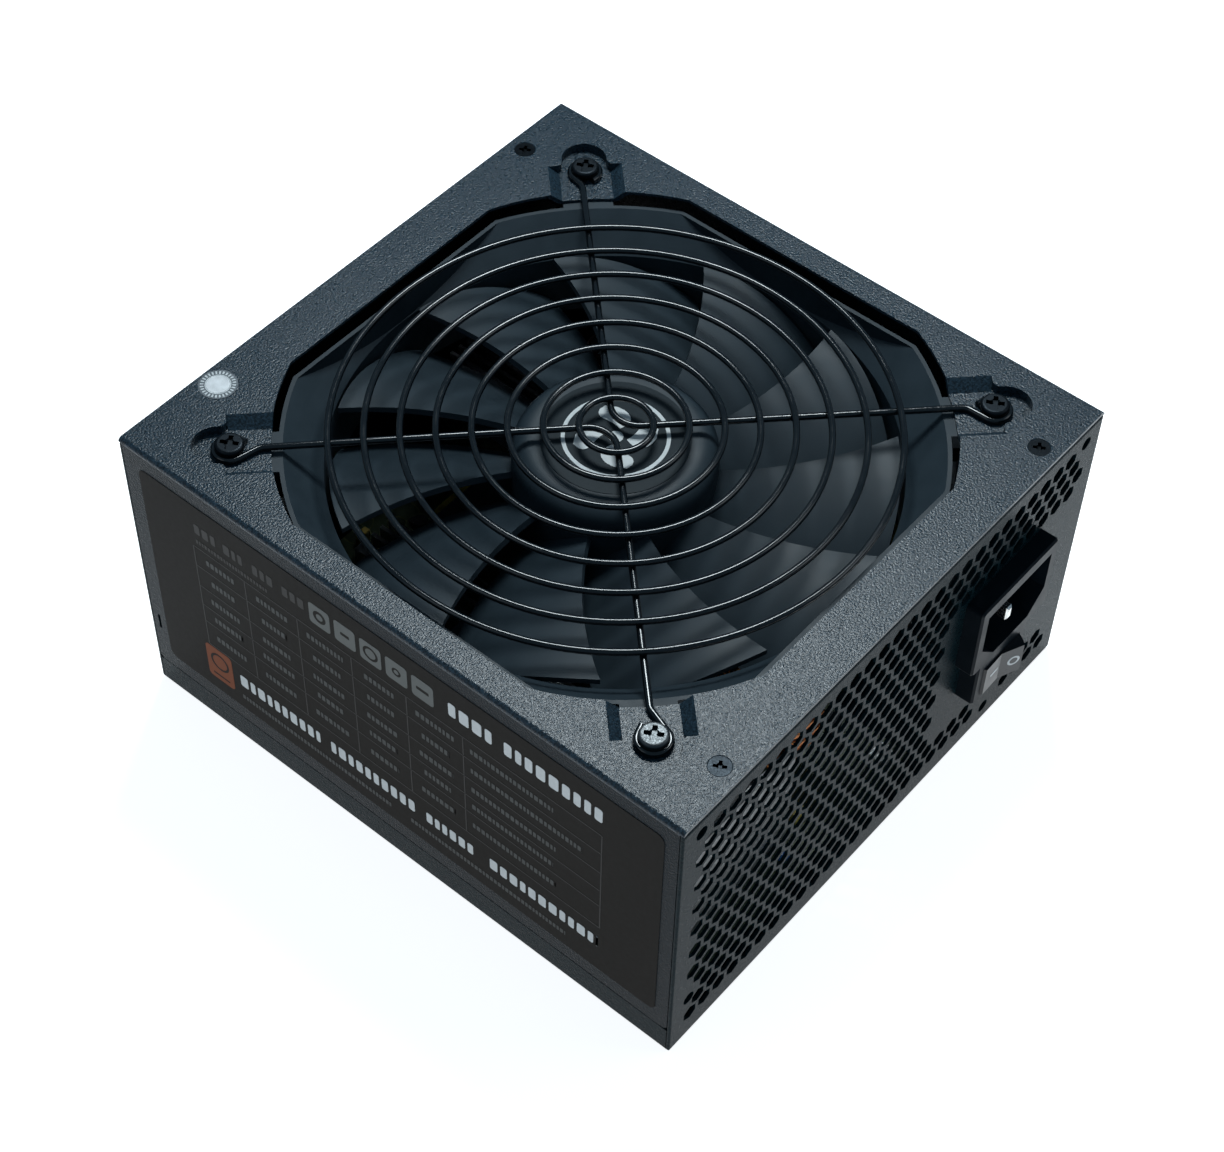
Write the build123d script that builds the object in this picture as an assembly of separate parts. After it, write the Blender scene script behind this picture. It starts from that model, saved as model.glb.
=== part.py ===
from build123d import *

import math
import os

# ATX power supply unit: a two-piece sheet-steel case with a large fan on top, a vented
# end with the mains inlet and switch, a cable end, and the power board inside.
# Origin: centre of the bottom face. +Z up through the fan, -Y towards the vented end.

# --- case ---
WIDTH = 150.0
DEPTH = 160.0
HEIGHT = 86.0
SHEET = 0.8
BEND = 1.2                    # outer radius of the cover's long bends
SEAM = 0.2                    # gap between cover and tray
LIP_TOP = 8.6                 # height of the tray's side lips
LIP_GAP = 0.3                 # gap between lips and the cover's lower edge
END_GAP = 1.0                 # the cover's sides stop this far short of each end panel
FLANGE_DEPTH = 10.5           # inward flanges that take the cover screws
HALF_W = WIDTH / 2
HALF_D = DEPTH / 2
PANEL_TOP = HEIGHT - SHEET - SEAM

# --- fan opening and screw pockets in the cover ---
OPENING_HALF = 67.7
OPENING_CORNER = 33.6         # where a straight side ends, from the side's middle
OPENING_R = 76.3              # the corner arcs' furthest point from the centre
FAN_HOLE = 60.25              # fan screw offset from the centre, both ways
POCKET_DEPTH = 2.4
POCKET_TOP_HALF = 9.0
POCKET_FLOOR_HALF = 6.2
POCKET_START = 73.0
POCKET_STEP = 86.0            # where the sloped channel ends, along the diagonal
POCKET_END = 88.2             # centre of the round end, along the diagonal
POCKET_END_R = 5.5
POCKET_NECK_R = 1.6
FLOOR_Z = HEIGHT - POCKET_DEPTH

# --- cover screws, M3 countersunk ---
COVER_SCREWS = [(-57.5, -75.0), (56.0, -75.0), (55.5, 75.5), (-49.2, 75.0)]
CSK_HEAD_R = 2.5
M3_R = 1.45
M3_HOLE_R = 1.5
SCREW_TURN = 30.0             # how far the cross recesses are turned

# --- vented end: honeycomb of hexagons and four 6-32 threaded holes ---
HEX_PITCH = 5.05
HEX_ROW = 4.365
HEX_FLATS = 4.0
HEX_TOP_Z = 78.7
HEX_ROWS = 17
MOUNT_HOLES = [(-69.0, 80.0), (69.0, 80.0), (-69.0, 16.0), (45.0, 6.0)]
MOUNT_R = 1.75
COLLAR_R = 2.7
COLLAR_LEN = 2.4

# --- mains inlet and switch module ---
MODULE_PROUD = 4.7
INLET = (26.1, 56.3, 39.6, 62.5)          # x0, x1, z0, z1 of the inlet's face
SWITCH = (29.1, 48.7, 26.0, 39.6)         # x0, x1, z0, z1 of the switch's face
SOCKET = (28.8, 53.8, 41.4, 59.0)
SOCKET_CHAMFER = 5.6
SOCKET_DEPTH = 16.5
SOCKET_WALL = 1.6             # back wall
TAB_LEN = 7.0                 # solder tabs behind the pins
FACE_Y = -HALF_D - MODULE_PROUD
SOCKET_BACK = FACE_Y + SOCKET_DEPTH + SOCKET_WALL
PIN_X = 41.3
PIN_SPREAD = 7.0
PIN_W = 2.0
PIN_H = 4.0
EARTH_Z = 48.2
LINE_Z = 52.2
EARTH_RECESS = 1.3
LINE_RECESS = 4.6
ROCKER_X = 39.0
ROCKER_Z = 32.6
ROCKER_HALF = 4.6             # half its height along z
ROCKER_R = 7.6
ROCKER_PIVOT_IN = 2.8         # pivot this far behind the face
ROCKER_VALLEY = 3.3
ROCKER_SLOPE = 12.5
ROCKER_TILT = 11.0            # each way from the middle
ROCKER_Y = FACE_Y + ROCKER_PIVOT_IN
TRUNNION_R = 1.2
TRUNNION_FIT = 0.05
WELL_GAP = 0.3                # between the rocker's round ends and its well
INLET_BODY = (27.7, 54.7, 40.4, 60.4)     # what passes the panel behind the inlet's face
SWITCH_BODY = (30.5, 47.5, 27.0, 42.0)    # what passes it behind the switch's face
CUTOUT_GAP = 0.1

# --- fan ---
FAN_HALF = 66.4
FAN_CLIP_R = 74.8
FAN_H = 25.0
FAN_TOP = FLOOR_Z - SHEET
FAN_BOTTOM = FAN_TOP - FAN_H
FAN_WALL = 1.0
THROAT_R = 65.3
FUNNEL_DROP = 7.6
RIM_T = 1.5
RIM_CORNER_R = 4.0
FUNNEL_TOP_R = FAN_CLIP_R - FAN_WALL
LUG_R = 6.0
LUG_HOLE_R = 2.15
HUB_R = 23.5
HUB_TOP = FAN_TOP - 1.0
HUB_BOTTOM = FAN_BOTTOM + 5.0
HUB_WALL = 1.6
HUB_ROUND = 5.0
BLADES = 11
BLADE_TIP_R = 64.2
BLADE_TOP = FAN_TOP - 5.9     # the leading edge's tip
BLADE_ROOT_LOW = 2.7          # its root lies this much lower
BLADE_FOOT = FAN_BOTTOM + 6.1
BLADE_T = 1.5
BLADE_SWEEP = 12.0            # leading edge tip ahead of its root, degrees
BLADE_CHORD = 32.0            # degrees
BLADE_FIRST = 8.7             # leading edge root of the first blade, degrees from +X
YOKE_R = HUB_R - HUB_WALL
MAGNET_R = YOKE_R - 1.0
MAGNET_T = 1.8
SHAFT_R = 1.5
SHAFT_FIT = 0.02
SLEEVE_R = 2.9
BOSS_R = 4.2
MOTOR_BASE_R = 22.0

# --- wire guard ---
WIRE_R = 0.8
RING_COUNT = 8
RING_FIRST_R = 8.3
RING_PITCH = 7.93
HEAD_H = 1.4                  # height of the fan screws' heads
SPOKE_Z = FLOOR_Z + WIRE_R
RING_Z = SPOKE_Z + 2 * WIRE_R - 0.15
LOOP_R = 3.5
HOOK_BEND = 3.0
SPOKE_BEND = 6.4
# Each eye: diagonal's angle, side its spoke comes in on, where the spoke bends from the
# screw, and how far the spoke runs to one side of the diagonal there.
BACK_EYE = (45, 1, 4.9, 1.0)
RIGHT_EYE = (-45, -1, 6.2, 1.0)
LEFT_EYE = (135, 1, 6.6, 0.0)
FRONT_EYE = (-135, 1, 7.8, 0.0)

# --- inside ---
BOARD_Z = 7.0
BOARD_T = 1.6
BOARD_TOP = BOARD_Z + BOARD_T
BOARD_SCREWS = [(-65.0, -71.0), (15.0, -71.0), (65.0, -47.0), (-65.0, 67.0), (65.0, 67.0)]
OUTLET = (52.0, 32.0)         # x, z of the cable outlet in the cable end
OUTLET_R = 14.0
OUTLET_BORE_R = 11.0
EARTH_LUG = (63.0, -66.0)     # x, y of the earth screw in the tray
LUG_TOP = 3.2
LEAD_R = 1.1
SWITCH_TAB_END = ROCKER_Y + 18.0
LABEL_T = 0.15

# --- parts on the board: x and y first, then sizes ---
PRIMARY_SINK = (-41.0, -28.0, 44.0)       # x of the plate, y at both ends
SECONDARY_SINK = (15.0, 18.0, 70.0)
PACKAGES_IN = [(-41.0, -1, y, 20.0) for y in (-17.0, 4.0, 25.0)]
PACKAGES_OUT = [(18.0, 1, y, 12.6) for y in (27.0, 44.0, 61.0)]
BULK_CAN = (-9.0, -14.0, 14.0, 36.0)      # radius, height
OUTPUT_CANS = [(47.0, 24.0, 5.0, 25.0), (59.0, 24.0, 5.0, 25.0), (62.0, 38.0, 5.0, 22.0),
               (50.5, 38.0, 4.0, 18.0), (60.0, 52.0, 5.0, 22.0)]
TRANSFORMER = (-5.0, 27.0, 34.0, 24.0)    # width, depth
TRANSFORMER_Z = (13.0, 42.0)              # bottom and top of the core
STANDBY = (-56.0, -22.0, 19.0, 13.0)
STANDBY_Z = (11.0, 27.0)
PFC_RING = (-2.0, -46.0, 25.5, 14.5, 11.0)    # height of its centre, radius, width
OUTPUT_RING = (37.0, 49.0, 25.0, 14.0, 11.0)
FILTER_CHOKE = (36.5, -30.0, 11.0, 11.0)  # radius, height
FILM_CAPS = [(58.0, -32.0, 9.0, 26.0, 18.0), (35.0, -8.0, 26.0, 9.0, 17.0)]
DISC_CAPS = [(52.0 + 6.0 * k, -14.0, 4.5, 3.0) for k in range(3)]
LABEL = (-75.5, 74.5, 13.6, 80.4)         # y0, y1, z0, z1
SEAL_R = 4.5


# ---------- helpers ----------

def block(x0, x1, y0, y1, z0, z1):
    """Box from its limits."""
    low = (Align.MIN, Align.MIN, Align.MIN)
    return Pos(x0, y0, z0) * Box(x1 - x0, y1 - y0, z1 - z0, align=low)


def rod(x, y, z0, z1, r):
    """Upright cylinder."""
    up = (Align.CENTER, Align.CENTER, Align.MIN)
    return Pos(x, y, z0) * Cylinder(r, z1 - z0, align=up)


def cone(x, y, z0, z1, r0, r1):
    """Upright cone frustum, radius r0 at z0 and r1 at z1."""
    up = (Align.CENTER, Align.CENTER, Align.MIN)
    return Pos(x, y, z0) * Cone(r0, r1, z1 - z0, align=up)


def rod_x(y, z, x0, x1, r):
    """Cylinder along X."""
    return Pos((x0 + x1) / 2, y, z) * Rot(0, 90, 0) * Cylinder(r, x1 - x0)


def rod_y(x, z, y0, y1, r):
    """Cylinder along Y."""
    return Pos(x, (y0 + y1) / 2, z) * Rot(90, 0, 0) * Cylinder(r, y1 - y0)


def prism(points, z0, z1):
    """Upright prism over a plan outline."""
    face = Plane.XY.offset(z0) * make_face(Polyline(*points, close=True))
    return extrude(face, z1 - z0)


def prism_y(points, y0, y1):
    """Prism along Y over an (x, z) outline."""
    wire = Polyline(*[(x, y0, z) for x, z in points], close=True)
    return extrude(make_face(wire), y1 - y0, dir=(0, 1, 0))


def tube_along(points, radii, r):
    """Round wire along straight runs joined by arcs."""
    path = FilletPolyline(*points, radius=radii)
    start = Plane(origin=path @ 0, z_dir=path % 0)
    return sweep(start * Circle(r), path=path)


def save(shape, node):
    """Write one node; several separate solids stay separate."""
    export_step(shape, f"parts/{node}.step")


def group(solids):
    """Several separate solids in one node."""
    return Compound(children=[s.solid() for s in solids])


def corners():
    """The four screw corners as (x, y, angle of the diagonal)."""
    signs = [(1, 1), (-1, 1), (-1, -1), (1, -1)]
    return [(FAN_HOLE * a, FAN_HOLE * b, math.degrees(math.atan2(b, a))) for a, b in signs]


# ---------- case ----------

def clipped_square(half, radius, z0, z1):
    """Prism over a square whose corners are cut by a circle."""
    return block(-half, half, -half, half, z0, z1) & rod(0, 0, z0, z1, radius)


def fan_opening(z0, z1):
    """Prism of the cover's opening: four straight sides joined by bulging corner arcs."""
    a, b = OPENING_HALF, OPENING_CORNER
    mid = OPENING_R / math.sqrt(2)
    edges = []
    for k in range(4):
        turn = Rot(0, 0, 90 * k)
        edges.append(turn * Line((a, -b), (a, b)))
        edges.append(turn * ThreePointArc((a, b), (mid, mid), (b, a)))
    face = Plane.XY.offset(z0) * make_face(Wire([e.edge() for e in edges]))
    return extrude(face, z1 - z0)


def pocket(grow):
    """Screw pocket along +X, as a solid, grown by the sheet's thickness."""
    top = HEIGHT + 1.0
    floor = FLOOR_Z - grow
    neck = POCKET_STEP + grow
    rise = (POCKET_TOP_HALF - POCKET_FLOOR_HALF) / POCKET_DEPTH
    wide = POCKET_FLOOR_HALF + grow
    outer = wide + rise * (top - floor)
    trapezoid = [(-outer, top), (-wide, floor), (wide, floor), (outer, top)]
    wire = Polyline(*[(POCKET_START, y, z) for y, z in trapezoid], close=True)
    shape = extrude(make_face(wire), neck - POCKET_START, dir=(1, 0, 0))
    r = POCKET_END_R + grow
    shape += block(neck - 1, POCKET_END, -r, r, floor, top)
    shape += rod(POCKET_END, 0, floor, top, r)
    for side in (-1, 1):
        y0, y1 = sorted((side * r, side * (r + POCKET_NECK_R)))
        flare = block(neck - 0.2, neck + POCKET_NECK_R, y0, y1, floor, top)
        flare -= rod(neck + POCKET_NECK_R, side * (r + POCKET_NECK_R), floor, top, POCKET_NECK_R)
        shape += flare
    return shape


def countersink(x, y):
    """Cone that a countersunk head sits in, through the cover and into the flange."""
    top = HEIGHT + 0.01
    return cone(x, y, HEIGHT - 1.3, top, M3_HOLE_R, CSK_HEAD_R + 0.2)


def top_cover():
    """Top and two long sides in one bent sheet, with the fan opening and its pockets."""
    outer = block(-HALF_W, HALF_W, -HALF_D, HALF_D, LIP_TOP + LIP_GAP, HEIGHT)
    outer = fillet(outer.edges().filter_by(Axis.Y).group_by(Axis.Z)[-1], BEND)
    inner = block(
        -HALF_W + SHEET, HALF_W - SHEET, -HALF_D, HALF_D, LIP_TOP + LIP_GAP, HEIGHT - SHEET)
    inner = fillet(inner.edges().filter_by(Axis.Y).group_by(Axis.Z)[-1], BEND - SHEET)
    cover = outer - inner
    for y0, y1 in ((-HALF_D, -HALF_D + END_GAP), (HALF_D - END_GAP, HALF_D)):
        cover -= block(-HALF_W, HALF_W, y0, y1, 0, PANEL_TOP)
    lower = cover.edges().filter_by(Axis.X).group_by(Axis.Z)[0]
    cover = fillet(lower, 1.6)
    for _, _, angle in corners():
        cover += Rot(0, 0, angle) * pocket(SHEET) & block(
            -HALF_W, HALF_W, -HALF_D, HALF_D, 0, HEIGHT)
    cover -= fan_opening(FLOOR_Z - 2, HEIGHT + 1)
    for x, y, angle in corners():
        cover -= Rot(0, 0, angle) * pocket(0)
        cover -= rod(x, y, FLOOR_Z - 2, HEIGHT, LUG_HOLE_R)
    for x, y in COVER_SCREWS:
        cover -= countersink(x, y)
    notch = block(-HALF_W - 1, -HALF_W + SHEET + 1, 76.6, 77.4, 21.5, 26.5)
    return cover - notch


def hex_columns(row):
    """Column positions of one honeycomb row, in pitches from the centre."""
    half = 0.5 if row % 2 == 0 else 0.0
    reach = {0: 12.5, 1: 13.0, 2: 13.5, 3: 13.0}.get(row)
    if reach is not None:
        return [i - reach for i in range(int(2 * reach) + 1)]
    left = -13.5 if half else -13.0
    columns = [left + i for i in range(int(3.5 - left) + 1)]
    if row == 14:
        return columns[1:]                          # the first cell is a mounting hole
    if row == 15:
        return [left + i for i in range(21)] + [12.0, 13.0]
    if row == 16:
        return [left + i for i in range(22)] + [10.5, 11.5, 12.5, 13.5]
    return columns


def hex_wires(y):
    """Pointed-top hexagons of the vented end, as wires in the plane at y."""
    r = HEX_FLATS / math.sqrt(3)
    corner = [(r * math.sin(math.radians(60 * k)), r * math.cos(math.radians(60 * k)))
              for k in range(6)]
    wires = []
    for row in range(HEX_ROWS):
        z = HEX_TOP_Z - HEX_ROW * row
        for column in hex_columns(row):
            x = column * HEX_PITCH
            points = [(x + a, y, z + b) for a, b in corner]
            wires.append(Wire.make_polygon([Vector(*p) for p in points], close=True))
    return wires


def vents():
    """All the honeycomb cells as one cutting tool, a little longer than the sheet."""
    faces = [Face(w) for w in hex_wires(-HALF_D - 0.5)]
    return [Solid.extrude(f, Vector(0, SHEET + 1.0, 0)) for f in faces]


def mount_collar(x, z):
    """Extruded collar behind a threaded hole."""
    return rod_y(x, z, -HALF_D, -HALF_D + COLLAR_LEN, COLLAR_R)


def module_block(limits, y0, y1, grow):
    """Box over (x0, x1, z0, z1) limits, grown sideways."""
    x0, x1, z0, z1 = limits
    return block(x0 - grow, x1 + grow, y0, y1, z0 - grow, z1 + grow)


def module_cutout():
    """Hole in the vented end for the inlet and switch module."""
    y0, y1 = -HALF_D - 1, -HALF_D + 4
    upper = module_block(INLET_BODY, y0, y1, CUTOUT_GAP)
    return upper + module_block(SWITCH_BODY, y0, y1, CUTOUT_GAP)


def tray_shell():
    """Bottom, both end panels and their top flanges in one bent sheet."""
    outer = block(-HALF_W, HALF_W, -HALF_D, HALF_D, 0, PANEL_TOP)
    outer = fillet(outer.edges().filter_by(Axis.X), BEND)
    inner = block(-HALF_W, HALF_W, -HALF_D + SHEET, HALF_D - SHEET, SHEET, PANEL_TOP - SHEET)
    inner = fillet(inner.edges().filter_by(Axis.X), BEND - SHEET)
    shell = outer - inner
    gap = HALF_D - FLANGE_DEPTH
    shell -= block(-HALF_W, HALF_W, -gap, gap, PANEL_TOP - 2 * SHEET, PANEL_TOP + 1)
    for side in (-1, 1):
        edge = HALF_W - SHEET - 0.3
        x0, x1 = sorted((side * edge, side * (HALF_W + 1)))
        for y0, y1 in ((-HALF_D + SHEET, -gap), (gap, HALF_D - SHEET)):
            shell -= block(x0, x1, y0, y1, PANEL_TOP - 2 * SHEET, PANEL_TOP + 1)
    return shell


def side_lips():
    """Low side walls bent up from the bottom, with tabs behind the cover's sides."""
    reach = HALF_D - END_GAP
    lips = []
    for side in (-1, 1):
        x0, x1 = sorted((side * HALF_W, side * (HALF_W - SHEET)))
        lip = block(x0, x1, -reach, reach, 0, LIP_TOP)
        lips.append(lip)
        inside = side * (HALF_W - SHEET)
        x0, x1 = sorted((inside, inside - side * SHEET))
        for y in (-45.0, 0.0, 45.0):
            tab = block(x0, x1, y - 8, y + 8, SHEET, LIP_TOP + 7)
            lips.append(tab)
    return lips


def bottom_chassis():
    """Tray of the case: bottom, vented end, cable end, side lips and screw flanges."""
    tray = tray_shell()
    for lip in side_lips():
        tray += lip
    rounded = block(-HALF_W, HALF_W, -HALF_D, HALF_D, 0, PANEL_TOP)
    rounded = fillet(rounded.edges().filter_by(Axis.Y).group_by(Axis.Z)[0], BEND)
    rounded = fillet(rounded.edges().filter_by(Axis.Z), 0.5)
    tray = tray & rounded
    for x, z in MOUNT_HOLES:
        tray += mount_collar(x, z)
    for x, z in MOUNT_HOLES:
        tray -= rod_y(x, z, -HALF_D - 1, -HALF_D + COLLAR_LEN + 1, MOUNT_R)
    tray -= module_cutout()
    tray -= rod_y(OUTLET[0], OUTLET[1], HALF_D - 3, HALF_D + 3, OUTLET_R)
    for x, y in COVER_SCREWS:
        tray -= countersink(x, y)
        tray -= rod(x, y, PANEL_TOP - 3, HEIGHT, M3_HOLE_R)
    tray = tray.cut(*vents())
    return tray


def phillips(x, y, z_top, depth, reach):
    """Cross recess of a Phillips head, as a cutting solid."""
    half = reach * 0.27
    arm = block(-reach, reach, -half, half, -depth, 0.1)
    cross = arm + Rot(0, 0, 90) * arm
    tip = cone(0, 0, -depth, 0.1, half, reach * 0.6)
    return Pos(x, y, z_top) * Rot(0, 0, SCREW_TURN) * (cross + tip)


def cover_screw(x, y):
    """M3 countersunk screw through the cover into the tray's flange."""
    head = cone(x, y, HEIGHT - 1.25, HEIGHT - 0.1, M3_R, CSK_HEAD_R)
    screw = head + rod(x, y, HEIGHT - 7.0, HEIGHT - 1.2, M3_R)
    return screw - phillips(x, y, HEIGHT - 0.1, 0.9, 1.45)


def rating_label():
    """Printed sticker on one long side."""
    y0, y1, z0, z1 = LABEL
    return block(-HALF_W - LABEL_T, -HALF_W, y0, y1, z0, z1)


def seal_sticker():
    """Round foil seal over one cover screw."""
    x, y = COVER_SCREWS[3]
    return rod(x, y, HEIGHT, HEIGHT + 0.12, SEAL_R)


# ---------- inlet and switch ----------

def socket_outline():
    """Mains socket's opening with two cut corners, as (x, z) points."""
    x0, x1, z0, z1 = SOCKET
    c = SOCKET_CHAMFER
    return [(x0, z1), (x1, z1), (x1, z0 + c), (x1 - c, z0), (x0 + c, z0), (x0, z0 + c)]


def rocker_well():
    """Space that the rocker swings in."""
    r = ROCKER_R + WELL_GAP
    half = ROCKER_HALF + 0.15
    low, high = ROCKER_Z - half, ROCKER_Z + half
    drum = rod(ROCKER_X, ROCKER_Y, low, high, r)
    deep = block(ROCKER_X - 7.4, ROCKER_X + 7.4, ROCKER_Y + 2, ROCKER_Y + 9, low, high)
    return drum + deep


def inlet_housing():
    """Moulded housing of the mains inlet with the switch's frame below it."""
    upper = module_block(INLET, FACE_Y, -HALF_D, 0)
    upper = fillet(upper.edges().filter_by(Axis.Y), 1.2)
    s0, s1, t0, t1 = SWITCH
    lower = block(s0, s1, FACE_Y, -HALF_D, t0, t1 + 3)
    lower = fillet(lower.edges().filter_by(Axis.Y).group_by(Axis.Z)[0], 0.9)
    front = upper + lower
    front = chamfer(front.faces().sort_by(Axis.Y)[0].outer_wire().edges(), 0.5)
    housing = front + module_block(INLET_BODY, -HALF_D, SOCKET_BACK, 0)
    housing += module_block(SWITCH_BODY, -HALF_D, ROCKER_Y + 11, 0)
    housing -= prism_y(socket_outline(), FACE_Y - 1, FACE_Y + SOCKET_DEPTH)
    housing -= rocker_well()
    reach = ROCKER_HALF + 1.3
    pin = TRUNNION_R + TRUNNION_FIT
    housing -= rod(ROCKER_X, ROCKER_Y, ROCKER_Z - reach, ROCKER_Z + reach, pin)
    for x, z, _ in pin_places():
        housing -= block(x - PIN_W / 2, x + PIN_W / 2, -70, -50, z - PIN_H / 2, z + PIN_H / 2)
    for x in switch_terminal_x():
        housing -= block(x - 0.4, x + 0.4, -75, -60, ROCKER_Z - 2.4, ROCKER_Z + 2.4)
    return housing


def pin_places():
    """Inlet pins as (x, z, distance of the tip behind the face)."""
    return [
        (PIN_X, EARTH_Z, EARTH_RECESS),
        (PIN_X - PIN_SPREAD, LINE_Z, LINE_RECESS),
        (PIN_X + PIN_SPREAD, LINE_Z, LINE_RECESS),
    ]


def inlet_pin(x, z, recess):
    """One flat contact pin with its solder tab behind."""
    low, high = z - PIN_H / 2, z + PIN_H / 2
    pin = block(x - PIN_W / 2, x + PIN_W / 2, FACE_Y + recess, SOCKET_BACK, low, high)
    pin = chamfer(pin.faces().sort_by(Axis.Y)[0].edges(), 0.5)
    return pin + block(x - 0.4, x + 0.4, SOCKET_BACK, SOCKET_BACK + TAB_LEN, low, high)


def switch_terminal_x():
    """Places of the switch's two terminals."""
    return [ROCKER_X - 4.0, ROCKER_X + 4.0]


def switch_terminal(x):
    """Blade terminal through the switch's back wall."""
    front = ROCKER_Y + 7.6
    return block(x - 0.4, x + 0.4, front, SWITCH_TAB_END, ROCKER_Z - 2.4, ROCKER_Z + 2.4)


def switch_rocker():
    """Rocker with a shallow V face and two trunnions, resting with one end pressed in."""
    slope = math.tan(math.radians(ROCKER_SLOPE))
    wide = ROCKER_R + 1
    tall = ROCKER_VALLEY + wide * slope
    points = [(-wide, -3.0), (wide, -3.0), (wide, tall), (0, ROCKER_VALLEY), (-wide, tall)]
    cap = prism([(u, -w) for u, w in points], -ROCKER_HALF, ROCKER_HALF)
    cap = cap & rod(0, 0, -ROCKER_HALF, ROCKER_HALF, ROCKER_R)
    cap += block(-1.6, 1.6, 2.0, 5.5, -1.5, 1.5)
    cap += rod(0, 0, -ROCKER_HALF - 1.2, ROCKER_HALF + 1.2, TRUNNION_R)
    return rocker_place() * cap


def rocker_place():
    """Frame of the rocker at rest, its right end standing out."""
    return Pos(ROCKER_X, ROCKER_Y, ROCKER_Z) * Rot(0, 0, -ROCKER_TILT)


def switch_contact():
    """Brass bar that the rocker's foot swings between the terminals."""
    return rocker_place() * block(-4.6, 4.6, 5.5, 6.1, -2.0, 2.0)


# ---------- fan ----------

def fan_frame():
    """Square fan frame with clipped corners, a funnel mouth, lugs and a motor base."""
    frame = clipped_square(FAN_HALF, FAN_CLIP_R, FAN_TOP - RIM_T, FAN_TOP)
    frame += cone(0, 0, FAN_TOP - FUNNEL_DROP - 1.0, FAN_TOP, FAN_HALF, FAN_CLIP_R) & block(
        -FAN_HALF, FAN_HALF, -FAN_HALF, FAN_HALF, FAN_BOTTOM, FAN_TOP)
    frame += clipped_square(FAN_HALF, FAN_CLIP_R, FAN_BOTTOM, FAN_BOTTOM + 3.0)
    frame += rod(0, 0, FAN_BOTTOM, FAN_TOP, FAN_HALF)
    for x, y, angle in corners():
        frame += rod(x, y, FAN_BOTTOM, FAN_TOP, LUG_R)
        web = Rot(0, 0, angle) * block(60, math.hypot(x, y), -LUG_R, LUG_R, 0, 4.0)
        frame += Pos(0, 0, FAN_TOP - 4.0) * web
        frame += Pos(0, 0, FAN_BOTTOM) * web & block(-70, 70, -70, 70, 0, FAN_BOTTOM + 3.0)
    frame -= rod(0, 0, FAN_BOTTOM, FAN_TOP, THROAT_R)
    mouth = cone(0, 0, FAN_TOP - FUNNEL_DROP, FAN_TOP, THROAT_R, FUNNEL_TOP_R)
    inner = clipped_square(FAN_HALF - FAN_WALL, FUNNEL_TOP_R, FAN_TOP - FUNNEL_DROP, FAN_TOP)
    frame -= mouth & fillet(inner.edges().filter_by(Axis.Z), RIM_CORNER_R)
    for x, y, _ in corners():
        frame -= rod(x, y, FAN_BOTTOM, FAN_TOP, LUG_HOLE_R)
    frame += rod(0, 0, FAN_BOTTOM, FAN_BOTTOM + 2.0, MOTOR_BASE_R)
    for k in range(4):
        frame += Rot(0, 0, 90 * k) * block(20, THROAT_R + 0.5, -2.5, 2.5, FAN_BOTTOM, FAN_BOTTOM + 3.0)
    frame += rod(0, 0, FAN_BOTTOM, FAN_TOP - 8.0, BOSS_R)
    frame -= rod(0, 0, FAN_BOTTOM + 1.0, FAN_TOP, SLEEVE_R)
    return frame


def blade_point(along, r):
    """Point of a blade's surface, along 0 at the leading edge to 1 at the trailing edge."""
    share = max((r - HUB_R) / (BLADE_TIP_R - HUB_R), 0)
    lead = BLADE_SWEEP * share ** 1.1
    angle = math.radians(lead - along * BLADE_CHORD * (1.08 - 0.08 * share))
    steady = 0.72 * along + 0.28 * along ** 2
    late = along ** 2
    fall = steady + (late - steady) * min(share, 1) ** 2
    top = BLADE_TOP - BLADE_ROOT_LOW * (1 - min(share, 1))
    z = top - (top - BLADE_FOOT) * fall
    return Vector(r * math.cos(angle), r * math.sin(angle), z)


def blade():
    """One swept, twisted blade, cut off round at its tip."""
    spans = [HUB_R - 1.2 + (BLADE_TIP_R + 2.2 - HUB_R) * k / 5 for k in range(6)]
    chords = [k / 6 for k in range(7)]
    grid = [[blade_point(a, r) for a in chords] for r in spans]
    skin = Face.make_surface_from_array_of_points(grid)
    body = Solid.thicken(skin, BLADE_T)
    return body & rod(0, 0, FAN_BOTTOM, FAN_TOP, BLADE_TIP_R)


def fan_impeller():
    """Hub cup with its rounded shoulder and eleven blades, moulded in one."""
    hub = rod(0, 0, HUB_BOTTOM, HUB_TOP, HUB_R)
    hub = fillet(hub.edges().group_by(Axis.Z)[-1], HUB_ROUND)
    one = blade()
    for k in range(BLADES):
        hub += Rot(0, 0, BLADE_FIRST + 360 / BLADES * k) * one
    hub -= rod(0, 0, HUB_BOTTOM - 1, HUB_TOP - 5.0, YOKE_R)
    hub -= rod(0, 0, HUB_BOTTOM - 1, HUB_TOP - HUB_WALL, SHAFT_R)
    return hub


def hub_sticker():
    """Round sticker on the hub."""
    return rod(0, 0, HUB_TOP, HUB_TOP + 0.12, 17.0)


def rotor_yoke():
    """Steel cup pressed into the hub."""
    top = HUB_TOP - 5.0
    cup = rod(0, 0, HUB_BOTTOM + 0.5, top, YOKE_R) - rod(0, 0, HUB_BOTTOM, top - 1.0, MAGNET_R)
    return cup - rod(0, 0, HUB_BOTTOM, top + 1, SHAFT_R + 1.5)


def magnet_ring():
    """Rubber magnet ring inside the steel cup."""
    top = HUB_TOP - 6.5
    ring = rod(0, 0, HUB_BOTTOM + 1.0, top, MAGNET_R)
    return ring - rod(0, 0, HUB_BOTTOM, top + 1, MAGNET_R - MAGNET_T)


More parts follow.
